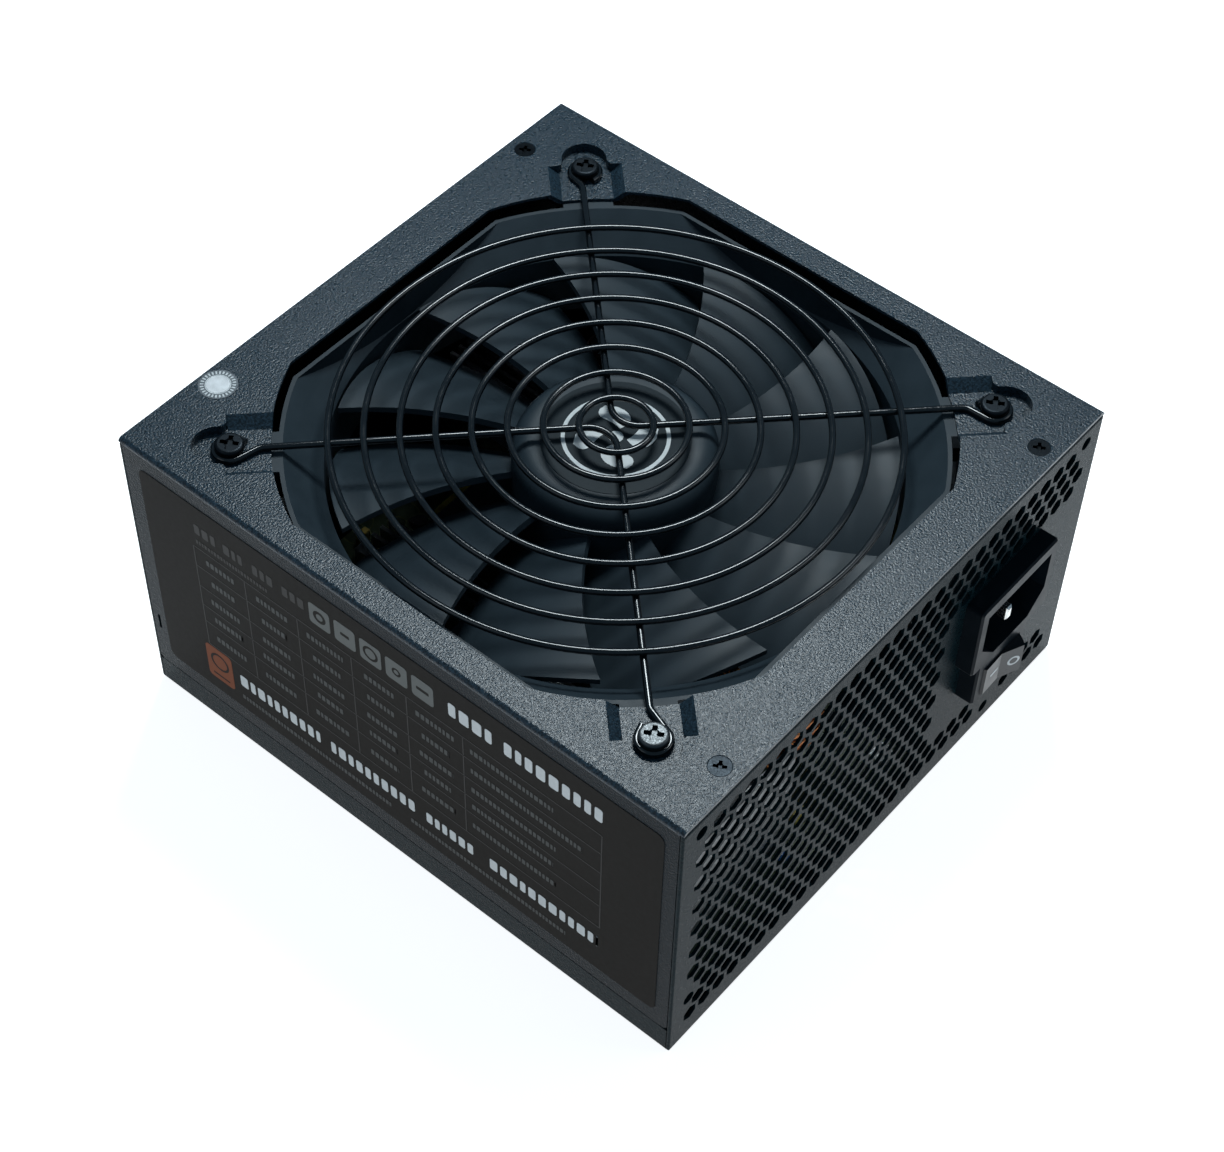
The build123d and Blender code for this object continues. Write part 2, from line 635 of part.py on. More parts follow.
def fan_shaft():
    """Steel shaft with a groove for its clip."""
    shaft = rod(0, 0, FAN_BOTTOM + 1.6, HUB_TOP - HUB_WALL, SHAFT_R)
    groove = rod(0, 0, FAN_BOTTOM + 2.2, FAN_BOTTOM + 2.7, SHAFT_R)
    return shaft - (groove - rod(0, 0, FAN_BOTTOM, FAN_BOTTOM + 4, SHAFT_R - 0.35))


def shaft_clip():
    """Split washer in the shaft's groove, under the bearing."""
    ring = rod(0, 0, FAN_BOTTOM + 2.2, FAN_BOTTOM + 2.7, 2.6)
    ring -= rod(0, 0, FAN_BOTTOM, FAN_BOTTOM + 4, SHAFT_R - 0.35)
    return ring - block(0, 4, -0.4, 0.4, FAN_BOTTOM, FAN_BOTTOM + 4)


def bearing_sleeve():
    """Bronze sleeve bearing in the frame's boss."""
    low, high = FAN_BOTTOM + 3.0, FAN_TOP - 8.2
    return rod(0, 0, low, high, SLEEVE_R) - rod(0, 0, low, high, SHAFT_R + SHAFT_FIT)


def stator_core():
    """Four-pole laminated core around the bearing boss."""
    low, high = FAN_BOTTOM + 7.5, FAN_BOTTOM + 14.5
    outer = MAGNET_R - MAGNET_T - 0.6
    shoes = rod(0, 0, low, high, outer) - rod(0, 0, low, high, outer - 2.0)
    for k in range(4):
        gap = Rot(0, 0, 45 + 90 * k) * block(10, 22, -1.4, 1.4, low, high)
        shoes -= gap
        shoes += Rot(0, 0, 90 * k) * block(5, outer - 1, -2.5, 2.5, low, high)
    shoes += rod(0, 0, low, high, 7.0)
    return shoes - rod(0, 0, low, high, BOSS_R)


def stator_coils():
    """Copper coil on each pole of the stator."""
    low, high = FAN_BOTTOM + 5.3, FAN_BOTTOM + 16.7
    outer = MAGNET_R - MAGNET_T - 3.4
    hole = block(0, 30, -2.5, 2.5, low + 2.2, high - 2.2)
    coil = block(7.6, outer, -4.6, 4.6, low, high) - hole
    coil = fillet(coil.edges().filter_by(Axis.X).group_by(Axis.Z)[0], 1.2)
    coil = fillet(coil.edges().filter_by(Axis.X).group_by(Axis.Z)[-1], 1.2)
    return group([Rot(0, 0, 90 * k) * coil for k in range(4)])


def motor_board():
    """Round circuit board under the stator."""
    low = FAN_BOTTOM + 2.4
    return rod(0, 0, low, low + 1.2, 17.5) - rod(0, 0, low, low + 1.2, BOSS_R + 0.2)


# ---------- wire guard and its screws ----------

def guard_rings():
    """Concentric rings of the wire guard."""
    radii = [RING_FIRST_R + RING_PITCH * k for k in range(RING_COUNT)]
    return [Pos(0, 0, RING_Z) * Torus(r, WIRE_R) for r in radii]


def eye_point(inwards, across, angle):
    """Point near a screw: inwards from it along the diagonal at this angle, and across."""
    turn = math.radians(angle)
    out = math.hypot(FAN_HOLE, FAN_HOLE) - inwards
    x = out * math.cos(turn) - across * math.sin(turn)
    y = out * math.sin(turn) + across * math.cos(turn)
    return Vector(x, y, SPOKE_Z)


def eye(angle, side, hook):
    """Eye round one screw: it leaves its spoke, passes behind the screw and comes back."""
    turn = math.acos(LOOP_R / hook)
    touch, off = LOOP_R * math.cos(turn), side * LOOP_R * math.sin(turn)
    start = eye_point(touch, off, angle)
    end = eye_point(touch, -off, angle)
    tip = end + (eye_point(hook, 0, angle) - end) * 0.35
    return start, [ThreePointArc(start, eye_point(-LOOP_R, 0, angle), end), Line(end, tip)]


def guard_wire(first, last, middle):
    """Spoke wire between two eyes with a bend near the centre."""
    start0, eye0 = eye(*first[:3])
    start1, eye1 = eye(*last[:3])
    hook0 = eye_point(first[2], first[3], first[0])
    hook1 = eye_point(last[2], last[3], last[0])
    spine = [start0, hook0, Vector(*middle, SPOKE_Z), hook1, start1]
    run = FilletPolyline(*spine, radius=(HOOK_BEND, SPOKE_BEND, HOOK_BEND))
    path = Wire([eye0[1], eye0[0], *run.edges(), *eye1])
    return sweep(Plane(origin=path @ 0, z_dir=path % 0) * Circle(WIRE_R), path=path)


def wire_guard():
    """Wire guard: eight rings welded on two bent spoke wires."""
    right = guard_wire(BACK_EYE, RIGHT_EYE, (0.0, 0.8))
    left = guard_wire(LEFT_EYE, FRONT_EYE, (0.6, 0.9))
    return right.fuse(left, *guard_rings())


def fan_screw(x, y):
    """Pan-head screw through the guard's eye and the cover into the fan."""
    seat = SPOKE_Z + WIRE_R
    head = rod(x, y, seat, seat + HEAD_H, 3.35)
    head = fillet(head.edges().group_by(Axis.Z)[-1], 0.8)
    screw = head + rod(x, y, FAN_TOP - 9.0, seat, LUG_HOLE_R - 0.15)
    return screw - phillips(x, y, seat + HEAD_H, 1.0, 2.1)


# ---------- power board and its parts ----------

def main_board():
    """L-shaped board that stops short of the inlet."""
    outline = [(-70, -76), (20, -76), (20, -52), (70, -52), (70, 72), (-70, 72)]
    board = prism(outline, BOARD_Z, BOARD_TOP)
    for x, y in BOARD_SCREWS:
        board -= rod(x, y, BOARD_Z, BOARD_TOP, 1.7)
    return board


def insulation_sheet():
    """Film between the tray and the board."""
    sheet = block(-72, 72, -50, 73, SHEET, SHEET + 0.4)
    for x, y in BOARD_SCREWS:
        sheet -= rod(x, y, SHEET, SHEET + 0.4, 3.6)
    return sheet


def standoff(x, y):
    """Threaded spacer between the tray and the board."""
    post = rod(x, y, SHEET, BOARD_Z, 3.0)
    return post - rod(x, y, SHEET + 1.0, BOARD_Z, M3_HOLE_R)


def board_screw(x, y):
    """Pan-head screw that holds the board."""
    screw = rod(x, y, BOARD_TOP, BOARD_TOP + 1.8, 2.8) + rod(x, y, 3.0, BOARD_TOP, M3_R)
    return screw - phillips(x, y, BOARD_TOP + 1.8, 1.0, 1.5)


def heatsink(x0, y0, y1):
    """Extruded heatsink along Y: upright plate, shelf and three fins."""
    profile = block(x0, x0 + 3.0, y0, y1, BOARD_TOP, 46.0)
    profile += block(x0 + 3.0, x0 + 12.5, y0, y1, 33.0, 35.0)
    for k in range(3):
        fin = x0 + 5.5 + 3.0 * k
        profile += block(fin, fin + 1.0, y0, y1, 35.0, 46.0)
    return profile


def bridge_heatsink():
    """Plain aluminium plate near the vented end."""
    return block(-60, -18, -68.0, -66.5, BOARD_TOP, 44.0)


def power_package(x0, side, y, z0):
    """Leaded power package against a heatsink face at x0, standing off to one side."""
    x1 = x0 + side * 4.8
    low, high = sorted((x0, x1))
    body = block(low, high, y - 7.8, y + 7.8, z0, z0 + 20)
    for k in (-1, 0, 1):
        mid = x0 + side * 2.4
        body += block(mid - 0.3, mid + 0.3, y + 5.4 * k - 0.6, y + 5.4 * k + 0.6, BOARD_TOP, z0)
    return body


def bridge_rectifier():
    """Flat four-legged rectifier on its own plate."""
    body = block(-50, -28, -66.5, -62.9, 20, 38)
    for k in range(4):
        x = -47 + 5.3 * k
        body += block(x - 0.5, x + 0.5, -65.0, -64.2, BOARD_TOP, 20)
    return body


def can(x, y, r, h):
    """Upright electrolytic capacitor with a rolled groove near its foot."""
    body = rod(x, y, BOARD_TOP, BOARD_TOP + h, r)
    body = fillet(body.edges().group_by(Axis.Z)[-1], 0.12 * r)
    ring = rod(x, y, BOARD_TOP + 1.8, BOARD_TOP + 3.0, r + 1) - rod(x, y, 0, 50, r - 0.35)
    return body - ring


def ferrite_core(cx, cy, w, d, z0, z1):
    """Ferrite E-core pair: outer frame and centre leg, windows open along Y."""
    leg = 0.17 * w
    post = 0.16 * w
    core = block(cx - w / 2, cx + w / 2, cy - d / 2, cy + d / 2, z0, z1)
    for side in (-1, 1):
        x0, x1 = sorted((cx + side * post, cx + side * (w / 2 - leg)))
        core -= block(x0, x1, cy - d, cy + d, z0 + leg, z1 - leg)
    return core


def winding_block(cx, cy, w, d, z0, z1):
    """Taped winding on its bobbin, round the core's centre leg."""
    leg = 0.17 * w
    wide = w / 2 - leg - 0.5
    body = block(cx - wide, cx + wide, cy - d / 2 - wide + 0.16 * w, cy + d / 2 + wide - 0.16 * w,
                 z0 + leg + 0.3, z1 - leg - 0.3)
    body = fillet(body.edges().filter_by(Axis.Z), 3.0)
    gap = 0.16 * w + 0.3
    return body - block(cx - gap, cx + gap, cy - d / 2 - 0.3, cy + d / 2 + 0.3, z0, z1)


def bobbin_foot(cx, cy, w, d, z1):
    """Base of a transformer between the board and the core."""
    foot = block(cx - w / 2, cx + w / 2, cy - d / 2 - 4, cy + d / 2 + 4, BOARD_TOP, z1)
    slot = block(cx - w, cx + w, cy - d / 2 + 3, cy + d / 2 - 3, BOARD_TOP, BOARD_TOP + 1.5)
    return foot - slot


def toroid_core(cx, cy, cz, r, wide):
    """Powder core ring standing up, its axis along X."""
    ring = rod_x(cy, cz, cx - wide / 2, cx + wide / 2, r)
    return ring - rod_x(cy, cz, cx - wide, cx + wide, 0.55 * r)


def toroid_winding(cx, cy, cz, r, wide):
    """Copper winding over all but the foot of a standing ring."""
    t = 1.4
    ring = rod_x(cy, cz, cx - wide / 2 - t, cx + wide / 2 + t, r + t)
    ring -= rod_x(cy, cz, cx - wide, cx + wide, 0.55 * r - t)
    ring = fillet(ring.edges().filter_by(GeomType.CIRCLE), 1.2)
    ring -= toroid_core(cx, cy, cz, r, wide)
    return ring - block(cx - wide, cx + wide, cy - 4, cy + 4, cz - r - 3, cz - 0.3 * r)


def flat_choke(cx, cy, r, h):
    """Common-mode choke lying flat on a round base."""
    ring = rod(cx, cy, BOARD_TOP + 2, BOARD_TOP + 2 + h, r)
    ring = fillet(ring.edges(), 1.6)
    ring -= rod(cx, cy, 0, 60, 0.42 * r)
    return ring + rod(cx, cy, BOARD_TOP, BOARD_TOP + 2, r - 1.5)


def film_capacitor(x, y, w, d, h):
    """Box-shaped film capacitor."""
    body = block(x - w / 2, x + w / 2, y - d / 2, y + d / 2, BOARD_TOP, BOARD_TOP + h)
    return fillet(body.edges().filter_by(Axis.Z), 0.8)


def disc_part(x, y, r, t):
    """Dipped disc with two legs, its axis along X."""
    z = BOARD_TOP + 3 + r
    disc = fillet(rod_x(y, z, x - t / 2, x + t / 2, r).edges(), 0.35 * t)
    for side in (-1, 1):
        leg = rod(x, y + side * 0.6 * r, BOARD_TOP, z, 0.35)
        disc += leg
    return disc


def fuse():
    """Ceramic fuse with two end caps, lying on its legs."""
    body = rod_y(21.5, BOARD_TOP + 4.0, -43, -25, 2.4)
    for y0, y1 in ((-44, -39), (-29, -24)):
        body += rod_y(21.5, BOARD_TOP + 4.0, y0, y1, 2.7)
    for y in (-43.2, -24.8):
        body += rod(21.5, y, BOARD_TOP, BOARD_TOP + 4, 0.4)
    return body


def control_board():
    """Small upright board with a controller chip."""
    board = block(-61.6, -60.0, 10, 54, BOARD_TOP, 36)
    board += block(-60.0, -58.4, 24, 38, 18, 24)
    return board + block(-60.0, -58.8, 43, 50, 16, 21)


def inrush_part():
    """Inrush limiter disc."""
    return disc_part(12, -24, 6.5, 4.0)


def cable_grommet():
    """Snap-in bush of the cable outlet."""
    x, z = OUTLET
    bush = rod_y(x, z, HALF_D - 4.0, HALF_D + 1.8, OUTLET_R - 0.05)
    bush += rod_y(x, z, HALF_D, HALF_D + 1.8, OUTLET_R + 2.2)
    bush += rod_y(x, z, HALF_D - SHEET - 1.6, HALF_D - SHEET, OUTLET_R + 1.2)
    bush = fillet(bush.edges().group_by(Axis.Y)[-1].filter_by(GeomType.CIRCLE)[-1:], 0.8)
    return bush - rod_y(x, z, HALF_D - 5, HALF_D + 3, OUTLET_BORE_R)


def live_lead():
    """Lead from the inlet's live tab to the switch."""
    x = PIN_X - PIN_SPREAD
    s = switch_terminal_x()[0]
    y_tab, y_back = SOCKET_BACK + TAB_LEN, -48.0
    points = [(x, y_tab, LINE_Z), (x, y_back, LINE_Z), (s, y_back, ROCKER_Z),
              (s, SWITCH_TAB_END, ROCKER_Z)]
    return tube_along(points, [4.5, 4.5], LEAD_R)


def switched_lead():
    """Lead from the switch down to the board."""
    s = switch_terminal_x()[1]
    y = -48.5
    points = [(s, SWITCH_TAB_END, ROCKER_Z), (s, y, ROCKER_Z), (s, y, BOARD_TOP)]
    return tube_along(points, [6.0], LEAD_R)


def neutral_lead():
    """Lead from the inlet's neutral tab down to the board."""
    x = PIN_X + PIN_SPREAD
    y = -48.5
    points = [(x, SOCKET_BACK + TAB_LEN, LINE_Z), (x, y, LINE_Z), (x, y, BOARD_TOP)]
    return tube_along(points, [4.6], LEAD_R)


def earth_lead():
    """Lead from the inlet's earth tab to the tray."""
    x, y = EARTH_LUG
    points = [(PIN_X, SOCKET_BACK + TAB_LEN, EARTH_Z), (PIN_X, -52.0, EARTH_Z),
              (58.5, -54.0, 40.0), (x, y, 22.0), (x, y, LUG_TOP)]
    return tube_along(points, [3.2, 6.0, 6.0], LEAD_R)


def earth_lug():
    """Ring terminal and screw that bond the earth lead to the tray."""
    x, y = EARTH_LUG
    return rod(x, y, SHEET, SHEET + 0.8, 3.6) + rod(x, y, SHEET, LUG_TOP, 2.7)


def fan_lead():
    """Twin lead from the motor base to its plug on the board."""
    z = FAN_BOTTOM - 2.6
    points = [(14, 0, FAN_BOTTOM), (14, 0, z), (54, 0, z), (62, 0, z - 9), (62, 0, 16.6)]
    return tube_along(points, [1.8, 7.0, 7.0], 1.0)


def fan_plug():
    """Two-pin plug of the fan lead."""
    return block(58.8, 65.2, -2.6, 2.6, BOARD_TOP + 3.2, 16.6)


def fan_header():
    """Pin header on the board for the fan plug."""
    return block(58.2, 65.8, -3.2, 3.2, BOARD_TOP, BOARD_TOP + 3.2)


def main():
    """Build every node and write it."""
    os.makedirs("parts", exist_ok=True)
    save(bottom_chassis(), "bottom_chassis")
    save(top_cover(), "top_cover")
    save(group([cover_screw(x, y) for x, y in COVER_SCREWS]), "cover_screws")
    save(rating_label(), "rating_label")
    save(seal_sticker(), "seal_sticker")
    save(wire_guard(), "wire_guard")
    save(group([fan_screw(x, y) for x, y, _ in corners()]), "fan_screws")
    save(inlet_housing(), "inlet_housing")
    save(group([inlet_pin(*p) for p in pin_places()]), "inlet_pins")
    save(group([switch_terminal(x) for x in switch_terminal_x()]), "switch_terminals")
    save(switch_rocker(), "switch_rocker")
    save(switch_contact(), "switch_contact")
    save_fan()
    save_board()
    save_leads()


def save_fan():
    """Write the fan's nodes."""
    save(fan_frame(), "fan_frame")
    save(fan_impeller(), "fan_impeller")
    save(hub_sticker(), "hub_sticker")
    save(rotor_yoke(), "rotor_yoke")
    save(magnet_ring(), "magnet_ring")
    save(fan_shaft(), "fan_shaft")
    save(shaft_clip(), "shaft_clip")
    save(bearing_sleeve(), "bearing_sleeve")
    save(stator_core(), "stator_core")
    save(stator_coils(), "stator_coils")
    save(motor_board(), "motor_board")


def save_board():
    """Write the power board and everything on it."""
    save(main_board(), "main_board")
    save(insulation_sheet(), "insulation_sheet")
    save(group([standoff(x, y) for x, y in BOARD_SCREWS]), "board_standoffs")
    save(group([board_screw(x, y) for x, y in BOARD_SCREWS]), "board_screws")
    save(heatsink(*PRIMARY_SINK), "primary_heatsink")
    save(heatsink(*SECONDARY_SINK), "secondary_heatsink")
    save(bridge_heatsink(), "bridge_heatsink")
    save(group([power_package(*p) for p in PACKAGES_IN]), "power_transistors")
    save(group([power_package(*p) for p in PACKAGES_OUT]), "output_rectifiers")
    save(bridge_rectifier(), "bridge_rectifier")
    save(can(*BULK_CAN), "bulk_capacitor")
    save(group([can(*c) for c in OUTPUT_CANS]), "output_capacitors")
    save(ferrite_core(*TRANSFORMER, *TRANSFORMER_Z), "transformer_core")
    save(winding_block(*TRANSFORMER, *TRANSFORMER_Z), "transformer_winding")
    save(bobbin_foot(*TRANSFORMER, TRANSFORMER_Z[0]), "transformer_foot")
    save(ferrite_core(*STANDBY, *STANDBY_Z), "standby_core")
    save(winding_block(*STANDBY, *STANDBY_Z), "standby_winding")
    save(bobbin_foot(*STANDBY, STANDBY_Z[0]), "standby_foot")
    save(toroid_core(*PFC_RING), "boost_choke_core")
    save(toroid_winding(*PFC_RING), "boost_choke_winding")
    save(toroid_core(*OUTPUT_RING), "output_choke_core")
    save(toroid_winding(*OUTPUT_RING), "output_choke_winding")
    save(flat_choke(*FILTER_CHOKE), "filter_choke")
    save(group([film_capacitor(*c) for c in FILM_CAPS]), "film_capacitors")
    save(group([disc_part(*c) for c in DISC_CAPS]), "disc_capacitors")
    save(fuse(), "fuse")
    save(inrush_part(), "inrush_limiter")
    save(control_board(), "control_board")


def save_leads():
    """Write the outlet bush and the leads inside the case."""
    save(cable_grommet(), "cable_grommet")
    save(group([live_lead(), switched_lead(), neutral_lead()]), "mains_leads")
    save(earth_lead(), "earth_lead")
    save(earth_lug(), "earth_lug")
    save(fan_lead(), "fan_lead")
    save(fan_plug(), "fan_plug")
    save(fan_header(), "fan_header")


main()
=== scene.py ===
import math
import random

import bmesh
import bpy
from mathutils import Matrix, Vector


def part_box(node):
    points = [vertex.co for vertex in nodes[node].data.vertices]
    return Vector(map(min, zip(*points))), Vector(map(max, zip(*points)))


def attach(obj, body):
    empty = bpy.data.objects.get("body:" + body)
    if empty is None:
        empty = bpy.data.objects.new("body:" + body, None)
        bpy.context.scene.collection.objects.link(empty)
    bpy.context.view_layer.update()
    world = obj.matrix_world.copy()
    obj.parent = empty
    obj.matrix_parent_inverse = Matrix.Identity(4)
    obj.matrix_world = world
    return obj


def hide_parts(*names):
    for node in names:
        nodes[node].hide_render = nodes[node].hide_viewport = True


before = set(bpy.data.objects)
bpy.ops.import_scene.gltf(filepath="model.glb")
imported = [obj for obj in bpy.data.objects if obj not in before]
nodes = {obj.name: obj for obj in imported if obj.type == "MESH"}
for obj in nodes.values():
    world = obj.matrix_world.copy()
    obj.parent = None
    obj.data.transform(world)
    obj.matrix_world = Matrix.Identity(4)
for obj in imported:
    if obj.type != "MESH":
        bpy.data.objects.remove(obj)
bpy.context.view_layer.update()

# Looks of the power supply unit: camera, lights, materials, and the fine pieces that the
# frame leaves plain. Lengths are in metres in the frame's axes; MM is one millimetre.

MM = 0.001


# ---------- camera and light ----------

CAMERA_PLACE = Vector((-0.30303, -0.24258, 0.50382))
CAMERA_AZIMUTH = -51.33
CAMERA_ELEVATION = 50.49
CAMERA_ROLL = 1.69
LENS = 75.56


def view_axes(azimuth, elevation):
    """Back, right and up directions of a camera; azimuth 0 looks along +Y."""
    a, e = math.radians(azimuth), math.radians(elevation)
    back = Vector((math.sin(a) * math.cos(e), -math.cos(a) * math.cos(e), math.sin(e)))
    right = Vector((0, 0, 1)).cross(back).normalized()
    return back, right, back.cross(right)


def make_camera():
    """Camera at the photograph's viewing angle."""
    data = bpy.data.cameras.new("camera")
    data.lens = LENS
    data.sensor_width = 36
    data.clip_start, data.clip_end = 0.01, 20
    cam = bpy.data.objects.new("camera", data)
    bpy.context.scene.collection.objects.link(cam)
    back, right, up = view_axes(CAMERA_AZIMUTH, CAMERA_ELEVATION)
    r = math.radians(CAMERA_ROLL)
    x = right * math.cos(r) + up * math.sin(r)
    y = up * math.cos(r) - right * math.sin(r)
    cam.matrix_world = Matrix.Translation(CAMERA_PLACE) @ Matrix((x, y, back)).transposed().to_4x4()
    bpy.context.scene.camera = cam


def area_light(name, azimuth, elevation, distance, size, power, colour):
    """Rectangular softbox that faces the object from that direction."""
    data = bpy.data.lights.new(name, "AREA")
    data.shape = "RECTANGLE"
    data.size, data.size_y = size
    data.energy = power
    data.color = colour
    light = bpy.data.objects.new(name, data)
    bpy.context.scene.collection.objects.link(light)
    back, _, _ = view_axes(azimuth, elevation)
    light.location = Vector((0, 0, 0.05)) + back * distance
    light.rotation_euler = (-back).to_track_quat("-Z", "Y").to_euler()


def make_light():
    """A softbox behind and above, two weaker ones, and pale blue surroundings.

    The surroundings light the object in blue and show as plain white to the camera.
    """
    world = bpy.data.worlds.new("pale")
    world.use_nodes = True
    background = world.node_tree.nodes["Background"]
    background.inputs["Color"].default_value = (0.45, 0.74, 1.0, 1)
    background.inputs["Strength"].default_value = 0.26
    tree = world.node_tree
    seen = tree.nodes.new("ShaderNodeBackground")
    seen.inputs["Color"].default_value = (1, 1, 1, 1)
    mix = tree.nodes.new("ShaderNodeMixShader")
    rays = tree.nodes.new("ShaderNodeLightPath")
    tree.links.new(rays.outputs["Is Camera Ray"], mix.inputs[0])
    tree.links.new(background.outputs[0], mix.inputs[1])
    tree.links.new(seen.outputs[0], mix.inputs[2])
    tree.links.new(mix.outputs[0], tree.nodes["World Output"].inputs["Surface"])
    bpy.context.scene.world = world
    area_light("softbox_back", 124, 65, 0.49, (0.20, 0.11), 2.2, (0.86, 0.96, 1.0))
    area_light("softbox_right", 40, 35, 1.1, (0.5, 0.5), 1.0, (0.95, 0.98, 1.0))
    area_light("softbox_left", -110, 40, 1.2, (0.6, 0.5), 0.5, (0.95, 0.98, 1.0))
    bpy.context.scene.view_settings.view_transform = "Standard"


def make_floor():
    """Plain pale floor, with a glow that lifts it to white."""
    bm = bmesh.new()
    bmesh.ops.create_grid(bm, x_segments=1, y_segments=1, size=4)
    mesh = bpy.data.meshes.new("floor")
    bm.to_mesh(mesh)
    bm.free()
    floor = bpy.data.objects.new("floor", mesh)
    bpy.context.scene.collection.objects.link(floor)
    floor.location.z = -0.0002
    paint = Paint("floor_paint", (0.9, 0.9, 0.9), 0.9)
    paint.set("Emission Color", (1, 1, 1, 1))
    paint.set("Emission Strength", 0.86)
    mesh.materials.append(paint.material)


# ---------- materials ----------

class Paint:
    """One Principled material and the few node patterns used on it."""

    def __init__(self, name, colour, roughness, metallic=0.0):
        self.material = bpy.data.materials.new(name)
        self.material.use_nodes = True
        self.material.diffuse_color = (*colour, 1)
        self.tree = self.material.node_tree
        self.shader = self.tree.nodes["Principled BSDF"]
        self.colour = colour
        self.roughness = roughness
        self.set("Base Color", (*colour, 1))
        self.set("Roughness", roughness)
        self.set("Metallic", metallic)
        self.normal = None

    def set(self, socket, value):
        self.shader.inputs[socket].default_value = value

    def node(self, kind, **inputs):
        made = self.tree.nodes.new(kind)
        for key, value in inputs.items():
            self.feed(made.inputs[key.replace("_", " ")], value)
        return made

    def feed(self, socket, value):
        if isinstance(value, bpy.types.NodeSocket):
            self.tree.links.new(value, socket)
        else:
            socket.default_value = value

    def place(self):
        return self.node("ShaderNodeTexCoord").outputs["Object"]

    def stretched(self, scale):
        """Object coordinates scaled unevenly, for brushed or drawn patterns."""
        mapping = self.node("ShaderNodeMapping", Vector=self.place(), Scale=scale)
        return mapping.outputs["Vector"]

    def noise(self, size, detail=3.0, vector=None):
        """Noise whose features are about size metres across."""
        made = self.node("ShaderNodeTexNoise", Vector=vector or self.place())
        made.inputs["Scale"].default_value = 1 / size
        made.inputs["Detail"].default_value = detail
        return made.outputs["Fac"]

    def math(self, operation, a, b=0.0):
        made = self.node("ShaderNodeMath")
        made.operation = operation
        self.feed(made.inputs[0], a)
        self.feed(made.inputs[1], b)
        return made.outputs[0]

    def ranged(self, value, low, high, to_low=0.0, to_high=1.0):
        """value from low..high to to_low..to_high, clamped."""
        made = self.node("ShaderNodeMapRange", Value=value)
        for key, number in zip(("From Min", "From Max", "To Min", "To Max"),
                               (low, high, to_low, to_high)):
            made.inputs[key].default_value = number
        return made.outputs["Result"]

    def mix(self, factor, a, b):
        made = self.tree.nodes.new("ShaderNodeMix")
        made.data_type = "RGBA"
        self.feed(made.inputs["Factor"], factor)
        self.feed(made.inputs["A"], a if isinstance(a, bpy.types.NodeSocket) else (*a, 1))
        self.feed(made.inputs["B"], b if isinstance(b, bpy.types.NodeSocket) else (*b, 1))
        return made.outputs["Result"]

    def shade(self, socket, value):
        self.feed(self.shader.inputs[socket], value)
        return self

    def bump(self, height, depth, strength=1.0):
        """Adds a bump of that depth in metres on top of earlier ones."""
        made = self.node("ShaderNodeBump", Height=height, Strength=strength)
        made.inputs["Distance"].default_value = depth
        if self.normal is not None:
            self.tree.links.new(self.normal, made.inputs["Normal"])
        self.normal = made.outputs["Normal"]
        self.tree.links.new(self.normal, self.shader.inputs["Normal"])
        return self

    def vary(self, size, amount, roughness=0.0):
        """Mottles the colour by amount, and the roughness, over patches of that size."""
        patch = self.noise(size)
        dark = tuple(c * (1 - amount) for c in self.colour)
        light = tuple(min(1, c * (1 + amount)) for c in self.colour)
        self.shade("Base Color", self.mix(self.ranged(patch, 0.3, 0.7), dark, light))
        if roughness:
            low, high = self.roughness - roughness, self.roughness + roughness
            self.shade("Roughness", self.ranged(patch, 0.3, 0.7, low, high))
        return self


def powder_coat(name, colour, grain, speckle, gloss=0.34):
    """Textured powder coat: fine nubbly grain with paler and darker specks."""
    paint = Paint(name, colour, 0.32)
    paint.set("Specular IOR Level", gloss)
    grains = paint.noise(grain, 2.0)
    dark = tuple(c * (1 - speckle) for c in colour)
    light = tuple(c * (1 + speckle * 1.6) for c in colour)
    paint.shade("Base Color", paint.mix(paint.ranged(grains, 0.36, 0.68), dark, light))
    paint.shade("Roughness", paint.ranged(paint.noise(grain * 2), 0.3, 0.7, 0.24, 0.36))
    return paint.bump(grains, grain * 0.40, 0.8)


def moulded(name, colour, roughness=0.42, gloss=0.40):
    """Moulded plastic with a very fine spark-eroded grain and faint flow patches."""
    paint = Paint(name, colour, roughness)
    paint.set("Specular IOR Level", gloss)
    paint.vary(6 * MM, 0.10, 0.05)
    return paint.bump(paint.noise(0.25 * MM), 0.02 * MM, 0.5)


def metal(name, colour, roughness, stretch=(1, 1, 1), grain=0.3 * MM):
    """Metal with drawn lines along the least stretched axis."""
    paint = Paint(name, colour, roughness, 1.0)
    lines = paint.noise(grain, 4.0, paint.stretched(stretch))
    paint.shade("Roughness", paint.ranged(lines, 0.3, 0.7, roughness * 0.75, roughness * 1.3))
    light = tuple(min(1, c * 1.1) for c in colour)
    dark = tuple(c * 0.86 for c in colour)
    paint.shade("Base Color", paint.mix(paint.ranged(paint.noise(2 * MM), 0.3, 0.7), dark, light))
    return paint.bump(lines, 0.015 * MM, 0.5)


def enamelled_copper():
    """Enamelled copper wire."""
    paint = Paint("enamelled_copper", (0.62, 0.22, 0.07), 0.28, 1.0)
    paint.set("Coat Weight", 0.6)
    paint.set("Coat Roughness", 0.15)
    return paint.vary(1.2 * MM, 0.18, 0.06)


def film(name, colour, roughness=0.5):
    """Printed film: nearly flat, with faint mottling and a slight wave."""
    paint = Paint(name, colour, roughness)
    paint.set("Specular IOR Level", 0.05)
    paint.vary(1.5 * MM, 0.05, 0.03)
    return paint.bump(paint.noise(12 * MM), 0.06 * MM, 0.35)


